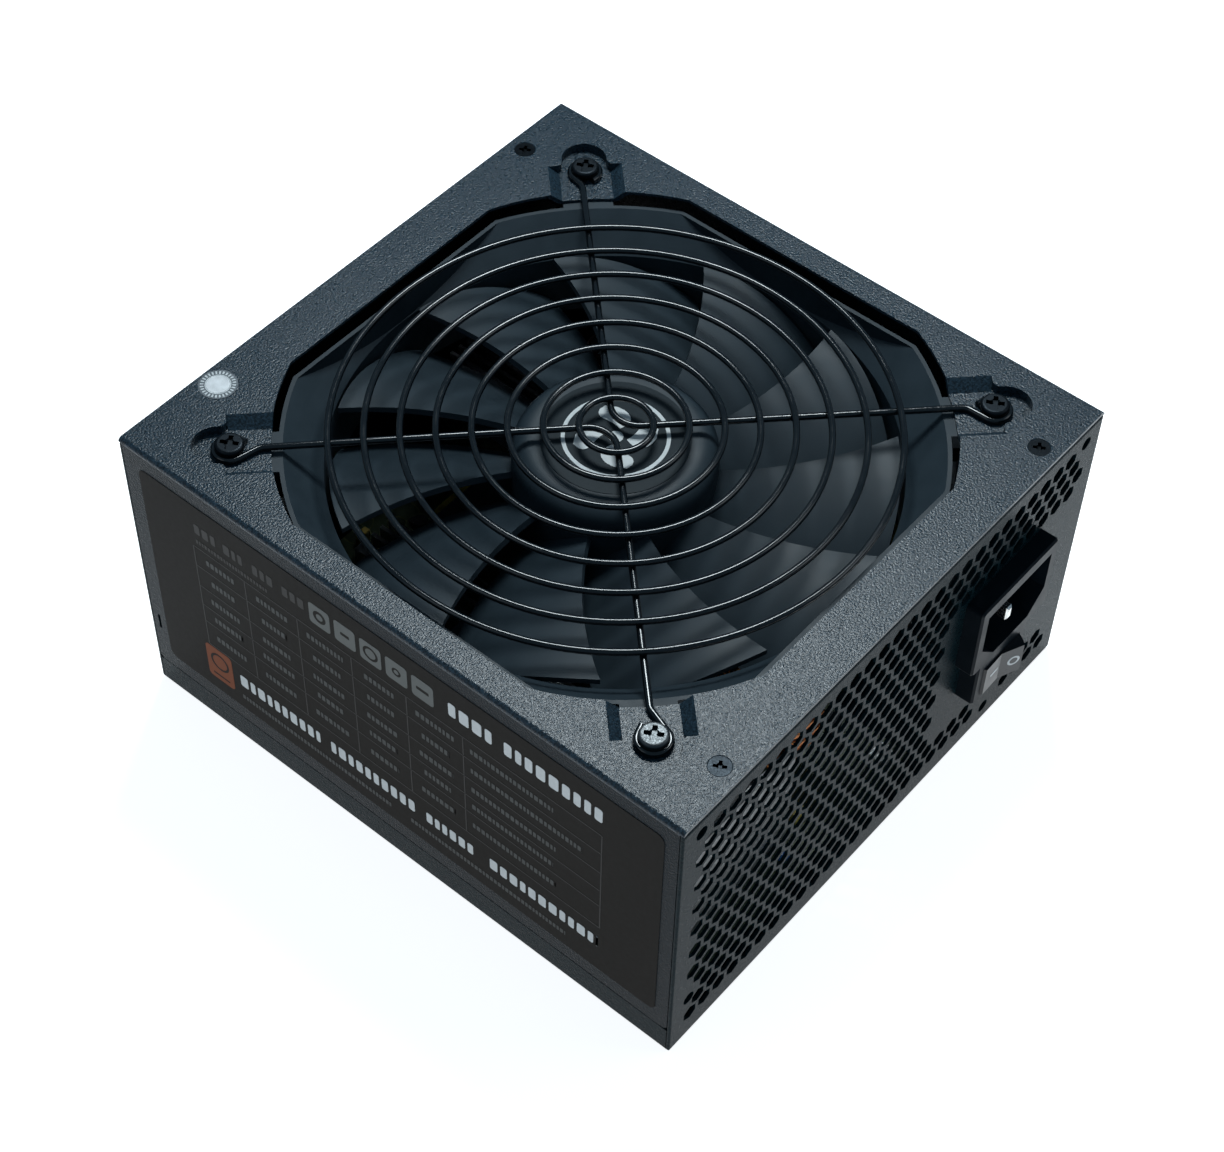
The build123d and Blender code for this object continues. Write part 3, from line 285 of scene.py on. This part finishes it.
def fan_screw_metal():
    """Black zinc on three fan screws and bright nickel on the front left one."""
    paint = metal("fan_screw_plate", (0.014, 0.017, 0.020), 0.42)
    split = paint.node("ShaderNodeSeparateXYZ", Vector=paint.place())
    across = paint.math("ADD", split.outputs["X"], split.outputs["Y"])
    bright = paint.math("LESS_THAN", across, -100 * MM)
    return paint.shade("Base Color", paint.mix(bright, (0.014, 0.017, 0.020), (0.075, 0.08, 0.083)))


def circuit_board():
    """Solder mask over faint copper tracks."""
    paint = Paint("circuit_board", (0.045, 0.07, 0.03), 0.4)
    tracks = paint.noise(5 * MM, 0.0)
    edges = paint.math("ABSOLUTE", paint.math("SUBTRACT", tracks, 0.5))
    mask = paint.ranged(edges, 0.02, 0.03)
    paint.shade("Base Color", paint.mix(mask, (0.09, 0.11, 0.04), (0.04, 0.062, 0.028)))
    return paint.bump(mask, 0.03 * MM, 0.6)


def make_materials():
    """Every material by name."""
    made = {
        "cover": powder_coat("cover_powder_coat", (0.009, 0.019, 0.028), 0.5 * MM, 0.55),
        # painted shade: the cover's upright faces take this darker, less glossy copy of the top's
        # powder coat in place of their shade
        "cover_painted_shade": powder_coat("cover_side_painted_shade_coat", (0.003, 0.007, 0.010), 0.5 * MM, 0.4, 0.04),
        "tray": powder_coat("tray_powder_coat", (0.002, 0.009, 0.012), 0.4 * MM, 0.25, 0.03),
        "wire": moulded("gloss_black_wire", (0.002, 0.003, 0.004), 0.13, 0.5),
        "plastic": moulded("fan_plastic", (0.011, 0.020, 0.027), 0.55, 0.30),
        "housing": moulded("inlet_plastic", (0.003, 0.006, 0.009), 0.38, 0.06),
        "rocker": moulded("rocker_plastic", (0.005, 0.007, 0.009), 0.3),
        "label": film("label_film", (0.010, 0.0085, 0.007), 0.6),
        "sticker": film("hub_sticker_film", (0.014, 0.020, 0.024), 0.35),
        "ink": film("white_ink", (0.50, 0.52, 0.52), 0.5),
        "grey_ink": film("grey_ink", (0.062, 0.064, 0.062), 0.5),
        "icon_ink": film("icon_ink", (0.11, 0.115, 0.11), 0.5),
        "line_ink": film("line_ink", (0.040, 0.038, 0.036), 0.5),
        "bronze_ink": film("bronze_ink", (0.17, 0.052, 0.024), 0.6),
        "nickel": metal("nickel_plate", (0.66, 0.66, 0.64), 0.24),
        "steel": metal("zinc_steel", (0.56, 0.57, 0.58), 0.32),
        "black_steel": metal("black_zinc", (0.010, 0.012, 0.014), 0.34),
        "fan_screw": fan_screw_metal(),
        "brass": metal("brass", (0.72, 0.52, 0.24), 0.3),
        "bronze": metal("sintered_bronze", (0.50, 0.33, 0.18), 0.5),
        "aluminium": metal("extruded_aluminium", (0.58, 0.60, 0.61), 0.36, (1, 0.05, 1)),
        "foil": metal("seal_foil", (0.10, 0.11, 0.12), 0.45),
        "foil_bright": metal("seal_foil_bright", (0.45, 0.46, 0.47), 0.45),
        "copper": enamelled_copper(),
        "board": circuit_board(),
        "insulator": film("insulating_film", (0.05, 0.05, 0.05), 0.35),
        "package": moulded("epoxy_package", (0.014, 0.014, 0.015), 0.5),
        "sleeve": film("capacitor_sleeve", (0.016, 0.018, 0.024), 0.28),
        "sleeve_brown": film("capacitor_sleeve_brown", (0.05, 0.024, 0.02), 0.28),
        "ferrite": moulded("ferrite", (0.05, 0.05, 0.052), 0.62),
        "tape": film("polyester_tape", (0.66, 0.46, 0.05), 0.3),
        "bobbin": moulded("bobbin_plastic", (0.02, 0.02, 0.022), 0.45),
        "core": moulded("coated_powder_core", (0.05, 0.11, 0.20), 0.5),
        "choke": moulded("choke_cover", (0.03, 0.03, 0.03), 0.5),
        "film_cap": moulded("film_capacitor_box", (0.55, 0.42, 0.10), 0.45),
        "blue_dip": moulded("blue_dip", (0.05, 0.16, 0.42), 0.3),
        "green_dip": moulded("green_dip", (0.03, 0.13, 0.06), 0.35),
        "ceramic": moulded("ceramic", (0.68, 0.65, 0.58), 0.55),
        "rubber": moulded("rubber", (0.018, 0.018, 0.018), 0.6),
        "lead": moulded("black_insulation", (0.015, 0.015, 0.016), 0.4),
        "green_lead": moulded("green_insulation", (0.03, 0.20, 0.05), 0.4),
        "nylon": moulded("nylon", (0.68, 0.66, 0.60), 0.4),
        "magnet": moulded("rubber_magnet", (0.04, 0.037, 0.035), 0.6),
    }
    return {key: paint.material for key, paint in made.items()}


NODE_PAINT = {
    "bottom_chassis": "tray", "top_cover": "cover", "cover_screws": "black_steel",
    "rating_label": "label", "seal_sticker": "foil", "wire_guard": "wire",
    "fan_screws": "fan_screw", "inlet_housing": "housing", "inlet_pins": "nickel",
    "switch_terminals": "brass", "switch_rocker": "rocker", "switch_contact": "brass",
    "fan_frame": "plastic", "fan_impeller": "plastic", "hub_sticker": "sticker",
    "rotor_yoke": "steel", "magnet_ring": "magnet", "fan_shaft": "steel",
    "shaft_clip": "steel", "bearing_sleeve": "bronze", "stator_core": "steel",
    "stator_coils": "copper", "motor_board": "board", "main_board": "board",
    "insulation_sheet": "insulator", "board_standoffs": "brass", "board_screws": "steel",
    "primary_heatsink": "aluminium", "secondary_heatsink": "aluminium",
    "bridge_heatsink": "aluminium", "power_transistors": "package",
    "output_rectifiers": "package", "bridge_rectifier": "package",
    "bulk_capacitor": "sleeve", "output_capacitors": "sleeve_brown",
    "transformer_core": "ferrite", "transformer_winding": "tape",
    "transformer_foot": "bobbin", "standby_core": "ferrite", "standby_winding": "tape",
    "standby_foot": "bobbin", "boost_choke_core": "core", "boost_choke_winding": "copper",
    "output_choke_core": "core", "output_choke_winding": "copper", "filter_choke": "choke",
    "film_capacitors": "film_cap", "disc_capacitors": "blue_dip", "fuse": "ceramic",
    "inrush_limiter": "green_dip", "control_board": "board", "cable_grommet": "rubber",
    "mains_leads": "lead", "earth_lead": "green_lead", "earth_lug": "brass",
    "fan_lead": "lead", "fan_plug": "nylon", "fan_header": "nylon",
}


COVER_SIDE_TOP = 83 * MM


def soften(piece, width):
    """Rounds a piece's sharp edges so that they catch the light."""
    bevel = piece.modifiers.new("edges", "BEVEL")
    bevel.width = width
    bevel.segments = 2
    bevel.limit_method = "ANGLE"
    bevel.angle_limit = math.radians(50)
    bevel.use_clamp_overlap = True


def paint_nodes(paints):
    """Gives each node of the frame its material, and the cover's upright faces a darker copy of its
    coat as painted shade.
    """
    for node, key in NODE_PAINT.items():
        mesh = nodes[node].data
        mesh.materials.clear()
        mesh.materials.append(paints[key])
    cover = nodes["top_cover"].data
    cover.materials.append(paints["cover_painted_shade"])
    # painted shade: upright faces below COVER_SIDE_TOP get the darker copy of the cover's coat
    for face in cover.polygons:
        face.material_index = int(abs(face.normal.z) < 0.3 and face.center.z < COVER_SIDE_TOP)
    for node in ("top_cover", "inlet_housing"):
        soften(nodes[node], 0.12 * MM)


# ---------- pieces in mesh code ----------

def add_prism(bm, outline, place):
    """Closed prism over an outline of (u, v) points; place(u, v, w) has w 0 below, 1 on top."""
    count = len(outline)
    low_ring = [bm.verts.new(place(u, v, 0)) for u, v in outline]
    top_ring = [bm.verts.new(place(u, v, 1)) for u, v in outline]
    bm.faces.new(low_ring[::-1])
    bm.faces.new(top_ring)
    for k in range(count):
        j = (k + 1) % count
        bm.faces.new((low_ring[k], low_ring[j], top_ring[j], top_ring[k]))


def add_ring(bm, centre, inner, outer, place, count=48):
    """Closed flat ring round centre (u, v)."""
    rings = []
    for w in (0, 1):
        for r in (inner, outer):
            circle = disc(centre, r, count)
            rings.append([bm.verts.new(place(u, v, w)) for u, v in circle])
    inside_low, outside_low, inside_top, outside_top = rings
    sides = ((outside_low, outside_top), (outside_top, inside_top),
             (inside_top, inside_low), (inside_low, outside_low))
    for first, second in sides:
        for k in range(count):
            j = (k + 1) % count
            bm.faces.new((first[k], first[j], second[j], second[k]))


def rectangle(u0, u1, v0, v1, r=0.0, steps=4):
    """Outline of a rectangle with rounded corners."""
    if r == 0:
        return [(u0, v0), (u1, v0), (u1, v1), (u0, v1)]
    points = []
    for cu, cv, start in ((u1 - r, v1 - r, 0), (u0 + r, v1 - r, 90),
                          (u0 + r, v0 + r, 180), (u1 - r, v0 + r, 270)):
        for k in range(steps + 1):
            points.append(polar((cu, cv), r, math.radians(start + 90 * k / steps)))
    return points


def polar(centre, r, angle):
    """Point at a radius and an angle in radians from a centre."""
    return centre[0] + r * math.cos(angle), centre[1] + r * math.sin(angle)


def disc(centre, r, count=40):
    """Outline of a circle."""
    return [polar(centre, r, 2 * math.pi * k / count) for k in range(count)]


def finish_piece(bm, name, paint, body="case", smooth=False):
    """Turns the bmesh into a piece that rides on a body."""
    bmesh.ops.recalc_face_normals(bm, faces=bm.faces[:])
    mesh = bpy.data.meshes.new(name)
    bm.to_mesh(mesh)
    bm.free()
    mesh.materials.append(paints[paint])
    if smooth:
        mesh.shade_smooth()
    piece = bpy.data.objects.new(name, mesh)
    bpy.context.scene.collection.objects.link(piece)
    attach(piece, body)
    return piece


# ---------- rating label ----------

# Places on the label are its y and z in mm; a rectangle is y, y, z, z.
LABEL_Y = (-75.5, 74.5)
LABEL_Z = (13.6, 80.4)
LABEL_X = -75.0
LABEL_FACE = 0.10
INK_FACE = 0.14
TABLE_Y = (59.2, 43.3, 27.2, 11.0, -5.1, -21.3, -59.6)
TABLE_Z = (65.9, 59.1, 51.9, 45.1, 39.1, 30.6)
LINE_HALF = 0.16              # half the table lines' width
MARKS_Z = 71.0                # foot of the faint marks above the table
HEADING_Z = 70.4
HEADING = ((-17.5, -30.0), (-33.0, -59.6))
BOLD_Z = 22.6
BOLD = ((49.7, 24.0, 4.0), (20.5, -6.0, 4.0), (-9.0, -23.0, 3.6), (-28.0, -59.1, 3.8))
SMALL_Z = 17.6
SMALL = ((49.7, 2.0), (-4.0, -50.0))
ICON_Y = 19.8                 # first icon's middle
ICON_PITCH = 7.5
ICON_Z = 72.2
# Each icon's glyph: a ring's inner and outer radius, or 0 and a bar's half length.
GLYPHS = ((1.0, 1.9), (0.0, 1.3), (1.5, 2.2), (0.7, 1.3), (0.0, 1.8))
BADGE = (52.3, 60.8, 18.0, 30.0)
BADGE_RING = (56.5, 25.2)
BADGE_BAR = (53.8, 59.3, 19.5, 20.1)


def on_label(depth):
    """Place of label points (y, z) in mm, from inside the film out to a depth."""
    def place(y, z, w):
        return Vector((LABEL_X - depth * w - (1 - w) * 0.05, y, z)) * MM
    return place


def word(y, y_end, z, height, rng, ink):
    """Row of plain blocks that stands for a printed word, from y down to y_end."""
    blocks = []
    while y > y_end:
        wide = min(rng.uniform(0.35, 0.62) * height, y - y_end)
        blocks.append((rectangle(y - wide, y, z, z + height, 0.12 * height, 2), ink))
        y -= wide + 0.22 * height
    return blocks


def label_prints(rng):
    """Outlines of all plain marks on the label, each with its ink."""
    marks = []
    for y in TABLE_Y:
        line = rectangle(y - LINE_HALF, y + LINE_HALF, TABLE_Z[-1], TABLE_Z[0])
        marks.append((line, "line_ink"))
    for z in TABLE_Z:
        line = rectangle(TABLE_Y[-1], TABLE_Y[0], z - LINE_HALF, z + LINE_HALF)
        marks.append((line, "line_ink"))
    for top, foot in zip(TABLE_Z, TABLE_Z[1:]):
        middle = (top + foot) / 2
        for y1, y0 in zip(TABLE_Y[:-2], TABLE_Y[1:-1]):
            half = rng.uniform(0.22, 0.34) * (y1 - y0)
            centre = (y0 + y1) / 2
            marks += word(centre + half, centre - half, middle - 0.9, 1.8, rng, "grey_ink")
        ends = TABLE_Y[-2] - 2, TABLE_Y[-1] + 3 + 12 * rng.random()
        marks += word(*ends, middle - 0.8, 1.7, rng, "grey_ink")
    for k in range(4):
        marks += word(58 - 9 * k, 51.5 - 9 * k, MARKS_Z, 3.2, rng, "line_ink")
    marks += word(58, 36, MARKS_Z - 3.4, 1.3, rng, "line_ink")
    for start, end in HEADING:
        marks += word(start, end, HEADING_Z, 4.4, rng, "ink")
    for start, end, high in BOLD:
        marks += word(start, end, BOLD_Z, high, rng, "ink")
    for start, end in SMALL:
        marks += word(start, end, SMALL_Z, 1.5, rng, "grey_ink")
    return marks


def add_icons(inks):
    """Row of plain grey squares with rings and bars."""
    for k, (inner, outer) in enumerate(GLYPHS):
        y, z = ICON_Y - ICON_PITCH * k, ICON_Z
        add_prism(inks["icon_ink"], rectangle(y - 3.1, y + 3.1, z - 3.4, z + 3.4, 0.9),
                  on_label(INK_FACE - 0.01))
        if inner:
            add_ring(inks["label"], (y, z), inner, outer, on_label(INK_FACE), 24)
        else:
            bar = rectangle(y - outer, y + outer, z - 0.5, z + 0.5, 0.2, 2)
            add_prism(inks["label"], bar, on_label(INK_FACE))


def rating_label():
    """Dark film with a greeked table, plain icons and lines of blocks instead of words."""
    rng = random.Random(11)
    bm = bmesh.new()
    add_prism(bm, rectangle(*LABEL_Y, *LABEL_Z, 2.0), on_label(LABEL_FACE))
    base = finish_piece(bm, "rating_label_film", "label")
    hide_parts("rating_label")
    inks = {key: bmesh.new() for key in ("ink", "grey_ink", "line_ink", "icon_ink",
                                         "bronze_ink", "label")}
    for outline, ink in label_prints(rng):
        add_prism(inks[ink], outline, on_label(INK_FACE))
    add_icons(inks)
    add_prism(inks["bronze_ink"], rectangle(*BADGE, 1.2), on_label(INK_FACE - 0.01))
    add_ring(inks["label"], BADGE_RING, 2.3, 3.0, on_label(INK_FACE), 32)
    add_prism(inks["label"], rectangle(*BADGE_BAR, 0.25, 2), on_label(INK_FACE))
    for key, mesh in inks.items():
        finish_piece(mesh, "label_" + key, key)


# ---------- stickers and the switch's marks ----------

LOBE_STEPS = 10
LOBE_FOOT = 2.6               # radius where a lobe of the hub's mark starts, mm
LOBE_LENGTH = 7.2
LOBE_START = 20               # degrees
LOBE_SWEEP = 34               # degrees
LOBE_WIDTH = 0.52             # half a lobe's width at its middle, radians
TICKS = 28
MARK_OUT = 2.9                # the rocker's marks' middles from the rocker's middle, mm


def hub_mark():
    """Plain fan pictogram on the hub's sticker: a ring and four curved lobes."""
    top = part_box("hub_sticker")[1][2] / MM

    def place(u, v, w):
        return Vector((u, v, top - 0.03 + 0.08 * w)) * MM

    bm = bmesh.new()
    add_ring(bm, (0, 0), 11.4, 12.3, place, 72)
    add_prism(bm, disc((0, 0), 1.7), place)
    outward = [j / LOBE_STEPS for j in range(LOBE_STEPS)]
    edges = [(1, t) for t in outward] + [(-1, 1 - t) for t in outward]
    for k in range(4):
        outline = []
        for side, t in edges:
            swell = side * LOBE_WIDTH * math.sin(math.pi * t) ** 0.7
            angle = math.radians(90 * k + LOBE_START + LOBE_SWEEP * t) + swell
            outline.append(polar((0, 0), LOBE_FOOT + LOBE_LENGTH * t, angle))
        add_prism(bm, outline, place)
    finish_piece(bm, "hub_mark", "ink", "fan_rotor")


def seal_sticker():
    """Foil seal with a bright middle and a ring of ticks."""
    low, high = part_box("seal_sticker")
    centre = (low[0] + high[0]) / 2 / MM, (low[1] + high[1]) / 2 / MM
    r = (high[0] - low[0]) / 2 / MM
    foot = low[2] / MM

    def level(base, thick):
        def place(u, v, w):
            return Vector((u, v, foot + base + thick * w)) * MM
        return place

    bm = bmesh.new()
    add_prism(bm, disc(centre, r, 56), level(0, 0.10))
    base = finish_piece(bm, "seal_foil", "foil")
    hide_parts("seal_sticker")
    bm = bmesh.new()
    for k in range(TICKS):
        a = 2 * math.pi * k / TICKS
        tick = []
        for along, across in ((-0.42, -0.16), (0.42, -0.22), (0.42, 0.22), (-0.42, 0.16)):
            d = r - 0.85 + along
            tick.append((centre[0] + d * math.cos(a) - across * math.sin(a),
                         centre[1] + d * math.sin(a) + across * math.cos(a)))
        add_prism(bm, tick, level(0.05, 0.07))
    add_ring(bm, centre, r - 1.75, r - 1.5, level(0.05, 0.07))
    finish_piece(bm, "seal_ticks", "ink")
    bm = bmesh.new()
    add_prism(bm, disc(centre, r - 1.8), level(0.05, 0.08))
    finish_piece(bm, "seal_middle", "foil_bright")


def rocker_marks():
    """I and O on the rocker's halves, laid on its face."""
    rocker = nodes["switch_rocker"]
    low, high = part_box("switch_rocker")
    middle_x, middle_z = (low[0] + high[0]) / 2 / MM, (low[2] + high[2]) / 2 / MM

    def place(u, v, w):
        start = Vector((u, low[1] / MM - 5, v)) * MM
        hit, spot, _, _ = rocker.ray_cast(start, Vector((0, 1, 0)))
        return spot + Vector((0, 0.05 - 0.07 * w, 0)) * MM

    bm = bmesh.new()
    x = middle_x - MARK_OUT
    add_prism(bm, rectangle(x - 1.6, x + 1.6, middle_z - 0.4, middle_z + 0.4, 0.2, 3), place)
    add_ring(bm, (middle_x + MARK_OUT, middle_z), 1.0, 1.55, place, 36)
    finish_piece(bm, "rocker_marks", "ink", "rocker")


# ---------- windings and small parts ----------

CORE_BORE = 0.55              # a ring core's bore as a share of its outer radius
WOUND_FROM = -56              # degrees, where a ring's winding starts
WOUND_SPAN = 292              # degrees
WIRE_RADIUS = 0.55
TURN_BEND = 1.1               # radius of a turn's corners, mm
WIRE_SIDES = 8
# Capacitors: x, y, radius and height above the board.
CANS = [(-9.0, -14.0, 14.0, 36.0), (47.0, 24.0, 5.0, 25.0), (59.0, 24.0, 5.0, 25.0),
        (62.0, 38.0, 5.0, 22.0), (50.5, 38.0, 4.0, 18.0), (60.0, 52.0, 5.0, 22.0)]
INLET_CORNER = (15, -48)      # the board is cut away beyond this x and below this y
SPOT_GAP = 3.8                # least distance between small parts, mm
SPOT_REACH = 2.3              # clear space round a small part, mm
SPOT_COUNT = 80


def turn_section(outer, inner, half, gap):
    """Rounded rectangle (radius, x) that a turn follows round the ring's section."""
    section = []
    corners = ((outer + gap, half + gap, 0), (inner - gap, half + gap, 90),
               (inner - gap, -half - gap, 180), (outer + gap, -half - gap, 270))
    for r, x, start in corners:
        bend_r = r - TURN_BEND if r > (outer + inner) / 2 else r + TURN_BEND
        bend_x = x - TURN_BEND if x > 0 else x + TURN_BEND
        for j in range(4):
            section.append(polar((bend_r, bend_x), TURN_BEND, math.radians(start + 30 * j)))
    return section


def add_turn(bm, centre, section, angle, lean):
    """One closed turn of wire round the ring's section at an angle, leaning to the next."""
    rings = []
    total = len(section)
    for j, (r, x) in enumerate(section):
        turn = angle + lean * math.sin(2 * math.pi * j / total)
        out = Vector((0, math.cos(turn), math.sin(turn)))
        middle = centre + Vector((x, 0, 0)) + out * r
        before, after = section[j - 1], section[(j + 1) % total]
        along = out * (after[0] - before[0]) + Vector((after[1] - before[1], 0, 0))
        side = Vector((0, -math.sin(turn), math.cos(turn)))
        up = along.normalized().cross(side)
        rings.append([])
        for m in range(WIRE_SIDES):
            b = 2 * math.pi * m / WIRE_SIDES
            point = middle + WIRE_RADIUS * (math.cos(b) * side + math.sin(b) * up)
            rings[-1].append(bm.verts.new(point * MM))
    for j in range(total):
        first, second = rings[j], rings[(j + 1) % total]
        for m in range(WIRE_SIDES):
            n = (m + 1) % WIRE_SIDES
            bm.faces.new((first[m], first[n], second[n], second[m]))


def toroid_turns(name, core_node, winding_node, count):
    """Turns of enamelled wire round a standing ring whose axis is along X."""
    low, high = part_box(core_node)
    centre = Vector([(low[i] + high[i]) / 2 / MM for i in range(3)])
    outer = (high[1] - low[1]) / 2 / MM
    half = (high[0] - low[0]) / 2 / MM
    section = turn_section(outer, CORE_BORE * outer, half, WIRE_RADIUS + 0.05)
    step = math.radians(WOUND_SPAN) / (count - 1)
    bm = bmesh.new()
    for k in range(count):
        add_turn(bm, centre, section, math.radians(WOUND_FROM) + step * k, step / 2)
    piece = finish_piece(bm, name, "copper", smooth=True)
    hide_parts(winding_node)


def add_box(bm, centre, size, turn=0.0):
    """Box that stands on its centre's z, turned about Z."""
    c, s = math.cos(turn), math.sin(turn)

    def place(u, v, w):
        return Vector((centre[0] + u * c - v * s, centre[1] + u * s + v * c,
                       centre[2] + size[2] * w)) * MM

    add_prism(bm, rectangle(-size[0] / 2, size[0] / 2, -size[1] / 2, size[1] / 2,
                            0.12 * min(size[:2]), 2), place)


def is_free(x, y, reach, standing):
    """Whether nothing that stands on the board comes within reach of a place."""
    offsets = (-reach, 0, reach)
    for node, (low, high) in standing.items():
        if not (low[0] / MM - reach < x < high[0] / MM + reach
                and low[1] / MM - reach < y < high[1] / MM + reach):
            continue
        for dx in offsets:
            for dy in offsets:
                start = Vector((x + dx, y + dy, high[2] / MM + 1)) * MM
                if nodes[node].ray_cast(start, Vector((0, 0, -1)))[0]:
                    return False
    return True


def free_spots(rng, count, reach):
    """Places on the board that keep clear of every other node, and the board's height."""
    low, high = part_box("main_board")
    standing = {}
    for node in nodes:
        foot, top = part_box(node)
        if node not in ("main_board", "bottom_chassis", "top_cover", "inlet_housing"):
            if foot[2] < high[2] + 12 * MM and top[2] > high[2]:
                standing[node] = (foot, top)
    spots = []
    for _ in range(20 * count):
        if len(spots) == count:
            break
        x = rng.uniform(low[0] / MM + 3, high[0] / MM - 3)
        y = rng.uniform(low[1] / MM + 3, high[1] / MM - 3)
        if x > INLET_CORNER[0] and y < INLET_CORNER[1]:
            continue
        apart = all(abs(x - a) > SPOT_GAP or abs(y - b) > SPOT_GAP for a, b in spots)
        if apart and is_free(x, y, reach, standing):
            spots.append((x, y))
    return spots, high[2] / MM


def board_parts():
    """Seeded resistors, chips and small capacitors on the free parts of the board."""
    rng = random.Random(5)
    spots, top = free_spots(rng, SPOT_COUNT, SPOT_REACH)
    foot = top - 0.1
    groups = {"package": bmesh.new(), "ceramic": bmesh.new(), "blue_dip": bmesh.new(),
              "sleeve": bmesh.new(), "film_cap": bmesh.new()}
    for k, (x, y) in enumerate(spots):
        kind = k % 6
        turn = rng.choice((0, math.pi / 2))
        if kind in (0, 1):
            add_box(groups["package"], (x, y, foot), (3.2, 1.8, 1.3), turn)
        elif kind == 2:
            add_box(groups["ceramic"], (x, y, foot), (3.0, 1.4, 1.5), turn)
        elif kind == 3:
            add_box(groups["blue_dip"], (x, y, foot), (2.6, 1.4, 3.0), turn)
        elif kind == 4:
            tall = rng.uniform(5, 7.5)

            def place(u, v, w, x=x, y=y, tall=tall):
                return Vector((u, v, foot + tall * w)) * MM

            add_prism(groups["sleeve"], disc((x, y), 1.9, 24), place)
        else:
            add_box(groups["film_cap"], (x, y, foot), (3.6, 1.8, 3.6), turn)
    for key, bm in groups.items():
        finish_piece(bm, "small_parts_" + key, key)


def can_tops():
    """Bare aluminium tops of the capacitors with scored crosses."""
    bm = bmesh.new()
    board_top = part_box("main_board")[1][2] / MM
    for x, y, r, tall in CANS:
        top = board_top + tall

        def place(u, v, w, top=top):
            return Vector((u, v, top - 0.05 + 0.12 * w)) * MM

        for k in range(4):
            a = math.radians(90 * k + 45)
            outline = [polar((x, y), 0.10 * r, a - 0.7)]
            outline += [polar((x, y), 0.80 * r, a - 0.74 + 1.48 * j / 8) for j in range(9)]
            outline.append(polar((x, y), 0.10 * r, a + 0.7))
            add_prism(bm, outline, place)
    finish_piece(bm, "can_tops", "aluminium")


make_camera()
make_light()
make_floor()
paints = make_materials()
paint_nodes(paints)
board_parts()  # before any node is replaced, because it looks for places clear of all nodes
rating_label()
hub_mark()
seal_sticker()
rocker_marks()
toroid_turns("boost_choke_turns", "boost_choke_core", "boost_choke_winding", 46)
toroid_turns("output_choke_turns", "output_choke_core", "output_choke_winding", 44)
can_tops()
